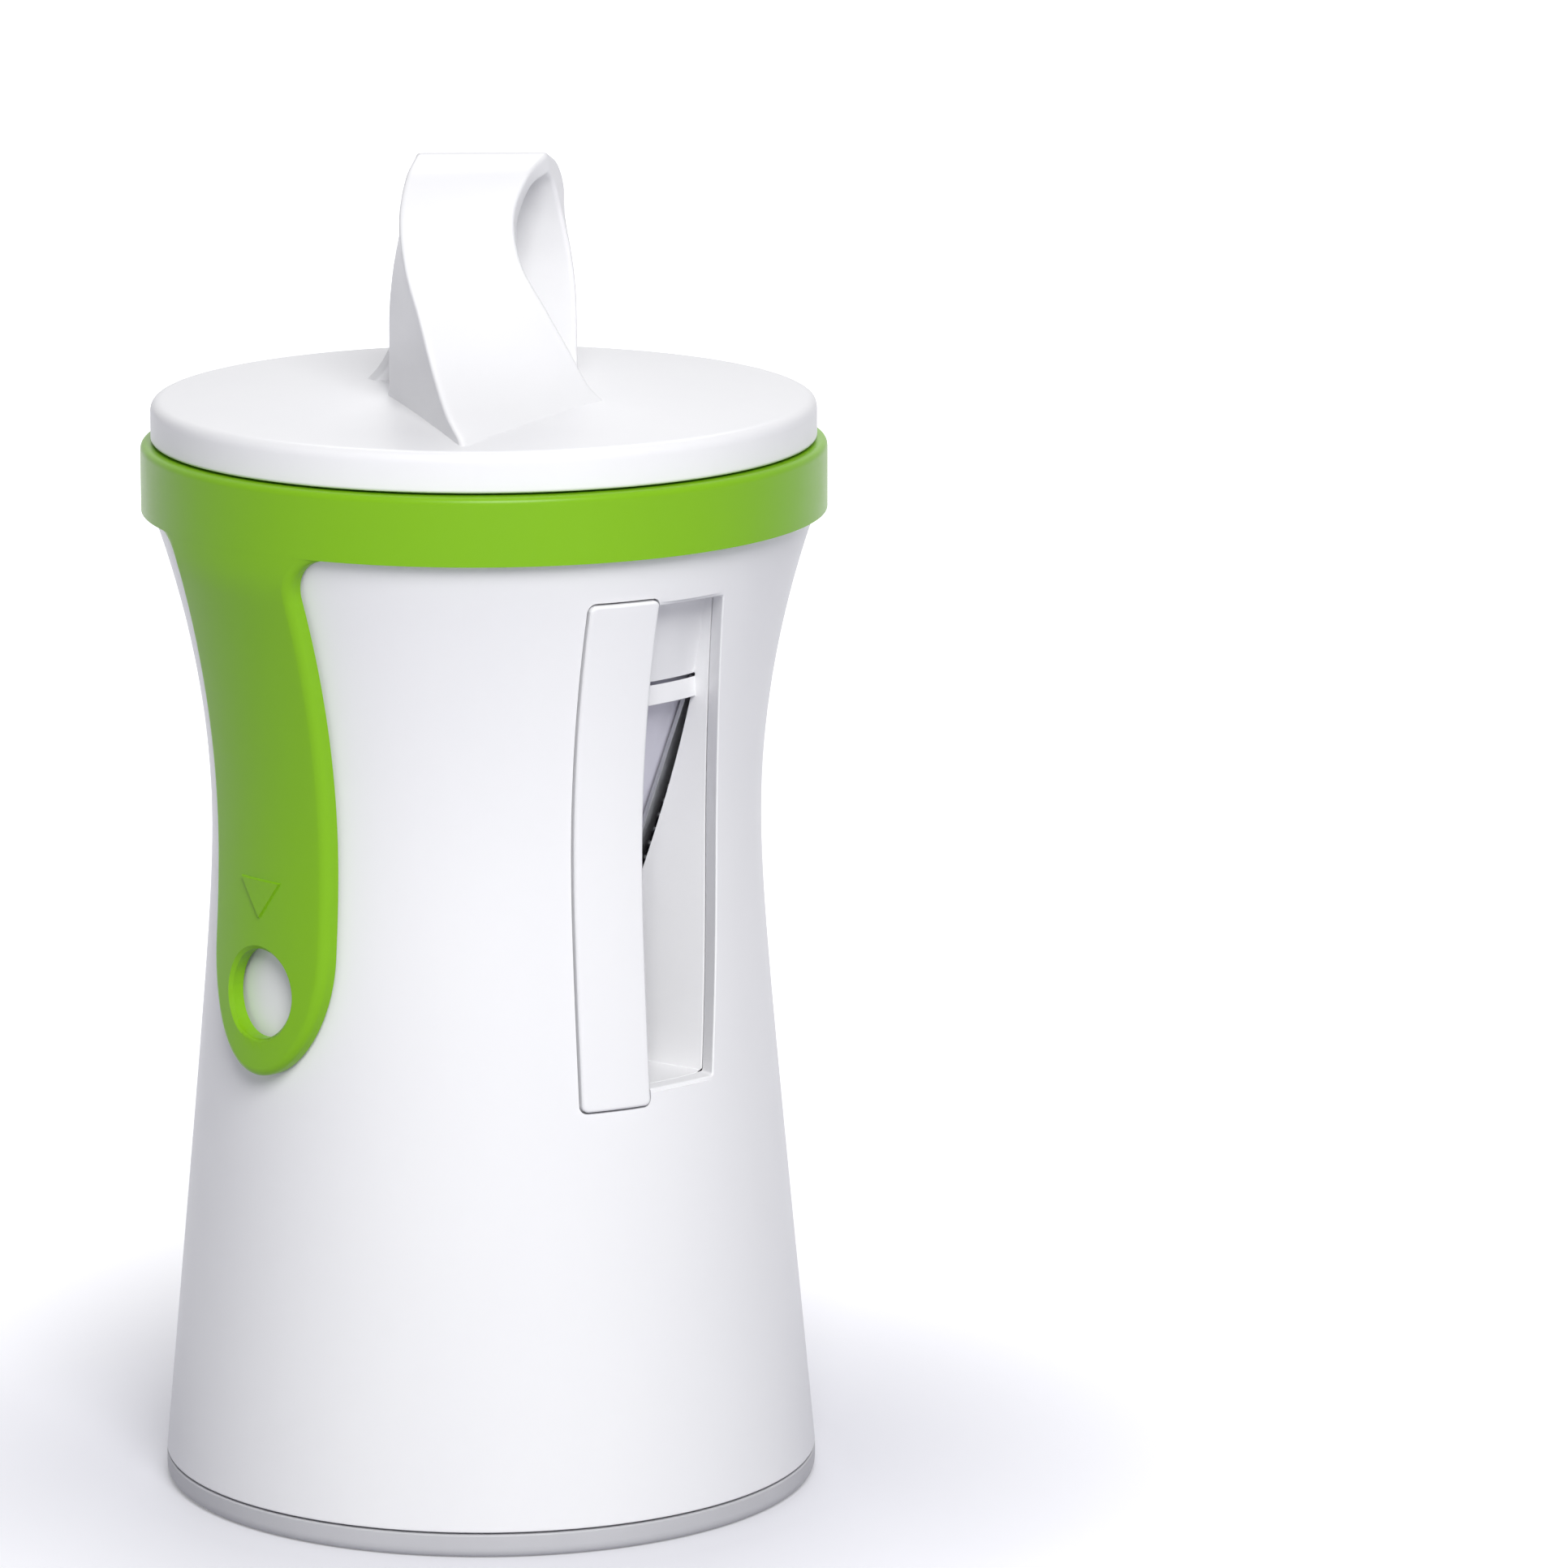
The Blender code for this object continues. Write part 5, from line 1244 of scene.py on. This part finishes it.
spigot_low = CAP_LOW - SEAT_GAP - GUIDE_RING_HEIGHT - RUN_GAP - SPIGOT_LIP_HEIGHT
ring_bore = MOUTH_RADIUS - RUN_GAP - GUIDE_RING_WALL
cap_spigot = ring_bore - RUN_GAP
cap_bore = cap_spigot - SPIGOT_WALL
cap_lip = ring_bore + SPIGOT_LIP
crown_edge = CAP_RADIUS - 2.0 * CAP_EDGE_ROUNDING
cap_under = CAP_TOP - CAP_PLATE
lip_top = spigot_low + SPIGOT_LIP_HEIGHT
cap = turned("cap_moulding", eased(
    [(cap_spigot, CAP_LOW, SLIGHT), (CAP_RADIUS, CAP_LOW, FULL),
     (CAP_RADIUS, CAP_TOP + CAP_EDGE_RISE, CAP_EDGE_ROUNDING)]
    + [(radius, cap_height(radius), 0.0) for radius in spaced(crown_edge, 0.0, 26)]
    + [(0.0, cap_under, 0.0), (cap_bore, cap_under, FULL), (cap_bore, spigot_low, SOFT),
       (cap_lip, spigot_low, 0.35 * MM), (cap_lip, lip_top, THIN_EDGE), (cap_spigot, lip_top, THIN_EDGE)], 9),
    FINE_ROUND)


def edge_line(edge, parts=6):
    """An edge of the ribbon in metres, on a Catmull-Rom curve through its points."""
    points = [Vector(point) * MM + Vector((0.0, 0.0, CAP_TOP)) for point in edge]
    ends = [2.0 * points[0] - points[1]] + points + [2.0 * points[-1] - points[-2]]
    line = []
    for before, start, end, after in zip(ends, ends[1:], ends[2:], ends[3:]):
        for t in spaced(0.0, 1.0 - 1.0 / parts, parts):
            line.append(0.5 * (2.0 * start + (end - before) * t
                               + (2.0 * before - 5.0 * start + 4.0 * end - after) * t ** 2
                               + (3.0 * start - before - 3.0 * end + after) * t ** 3))
    return line + [points[-1]]


def ribbon_ring(crest, outer, inner, back):
    """One ring of the ribbon with soft corners, and with points along its broad faces."""
    edge_ease = min(HANDLE_ROUNDING, 0.4 * (outer - inner).length)
    round_corners = eased([(*crest, HANDLE_ROUNDING), (*outer, edge_ease), (*inner, edge_ease),
                           (*back, HANDLE_ROUNDING)], CORNER_POINTS)
    ring = []
    for k, spans in enumerate((FACE_SPANS, EDGE_SPANS, FACE_SPANS, EDGE_SPANS)):
        corner = round_corners[CORNER_POINTS * k:CORNER_POINTS * (k + 1)]
        following = round_corners[CORNER_POINTS * (k + 1) % len(round_corners)]
        ring += corner + [corner[-1].lerp(following, t) for t in spaced(0.0, 1.0, spans + 1)[1:-1]]
    return ring


edges = [edge_line(edge) for edge in (CREST_EDGE, OUTER_EDGE, INNER_EDGE, BACK_EDGE)]
front_rings = [ribbon_ring(*corners) for corners in zip(*edges)]
half_turn = Matrix.Rotation(pi, 4, "Z")
rear_rings = []
for crest, outer, inner, back in reversed(list(zip(*edges))[:-1]):
    rear_rings.append(ribbon_ring(half_turn @ outer, half_turn @ crest, half_turn @ back, half_turn @ inner))
cut(cap, lofted("handle_ribbon", front_rings + rear_rings), "UNION")

PLATE_SCREWS = 3
PLATE_SCREW_CIRCLE = 16.8 * MM
PLATE_SCREW_REACH = 2.0 * MM
PRONG_COUNT = 6
plate_seat = cap_under - SEAT_GAP
plate_screw_places = ring_places(pi / PRONG_COUNT, PLATE_SCREW_CIRCLE, PLATE_SCREWS)
drilled(cap, plate_screw_places, plate_seat - MM, plate_seat + PLATE_SCREW_REACH)
finish_surface(cap, white_plastic)
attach(cap, "lid")
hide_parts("cap")

# The guide ring is a pale moulding snapped round the cap's spigot. It stays still in the collar's mouth as
# the cap turns, and rises with it.
ring_high = CAP_LOW - SEAT_GAP
ring_low = ring_high - GUIDE_RING_HEIGHT
ring_face = MOUTH_RADIUS - RUN_GAP
guide_ring = turned("guide_ring_moulding", eased([
    (ring_bore, ring_low, 0.25 * MM), (ring_face, ring_low, FULL), (ring_face, ring_high, THIN_EDGE),
    (ring_bore, ring_high, THIN_EDGE)], 7), FINE_ROUND)
finish_surface(guide_ring, pale_plastic)
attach(guide_ring, "lid_guide")
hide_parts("guide_ring")

# The prong plate is a pale moulded disc that carries seven steel prongs. It is screwed up against the inside
# of the cap.
PLATE_RADIUS = 20.0 * MM
PLATE_THICKNESS = 2.3 * MM
PRONG_CIRCLE = 12.5 * MM
PRONG_RADIUS = 1.2 * MM
PRONG_LENGTH = 16.0 * MM
PRONG_TIP = 4.5 * MM
PRONG_COLLAR_RADIUS = 2.1 * MM
PRONG_COLLAR_HEIGHT = 0.6 * MM
plate_low = plate_seat - PLATE_THICKNESS
plate = turned("prong_plate_moulding", eased([
    (0.0, plate_low, 0.0), (PLATE_RADIUS, plate_low, 0.6 * MM), (PLATE_RADIUS, plate_seat, SOFT),
    (0.0, plate_seat, 0.0)]))
prong_places = [Vector()] + ring_places(0.0, PRONG_CIRCLE, PRONG_COUNT)
drilled(plate, prong_places, plate_low - MM, plate_seat + MM, PRONG_RADIUS + SEAT_GAP)
drilled(plate, plate_screw_places, plate_low - MM, plate_seat + MM)
finish_surface(plate, pale_plastic)
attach(plate, "lid")
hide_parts("prong_plate")

# The prongs are steel pins with long points, put through the plate up to their collars. Six stand in a ring
# and one in the middle.
prong_under = plate_low - SEAT_GAP
prong_end = prong_under - PRONG_LENGTH
prong_steel = brushed_steel("prong_steel", (1.0, 1.0, 0.3), 0.22)


def prong_item(name):
    return turned_item(name, [
        (0.0, prong_end, 0.0), (PRONG_RADIUS, prong_end + PRONG_TIP, 1.2 * MM),
        (PRONG_RADIUS, prong_under - PRONG_COLLAR_HEIGHT, CRISP),
        (PRONG_COLLAR_RADIUS, prong_under - PRONG_COLLAR_HEIGHT, SLIGHT),
        (PRONG_COLLAR_RADIUS, prong_under, CRISP), (PRONG_RADIUS, prong_under, 0.0),
        (PRONG_RADIUS, plate_seat, THIN_EDGE), (0.0, plate_seat, 0.0)], 28, 6)


prongs = repeated("prongs", [
    {"Item": prong_item("ring_prong"), "Copies": PRONG_COUNT, "First": Vector((0.0, -PRONG_CIRCLE, 0.0)),
     "Turn": 2.0 * pi / PRONG_COUNT},
    {"Item": prong_item("middle_prong"), "Copies": 1, "First": Vector()}], prong_steel)
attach(prongs, "lid")
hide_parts(*["prong_" + str(number) for number in range(PRONG_COUNT + 1)])

# Three steel screws come up through the prong plate into the cap. They are of the same kind as those in the
# deck.
plate_screws = repeated("plate_screws", [{
    "Item": screw_item("plate_screw", plate_seat + PLATE_SCREW_REACH - plate_low), "Copies": PLATE_SCREWS,
    "First": plate_screw_places[0] + Vector((0.0, 0.0, plate_low - SEAT_GAP)),
    "Turn": 2.0 * pi / PLATE_SCREWS}], fastener_steel)
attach(plate_screws, "lid")
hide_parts("plate_screws_1", "plate_screws_2", "plate_screws_3")

# The scene shows colours as they are written.
bpy.context.scene.view_settings.view_transform = "Standard"
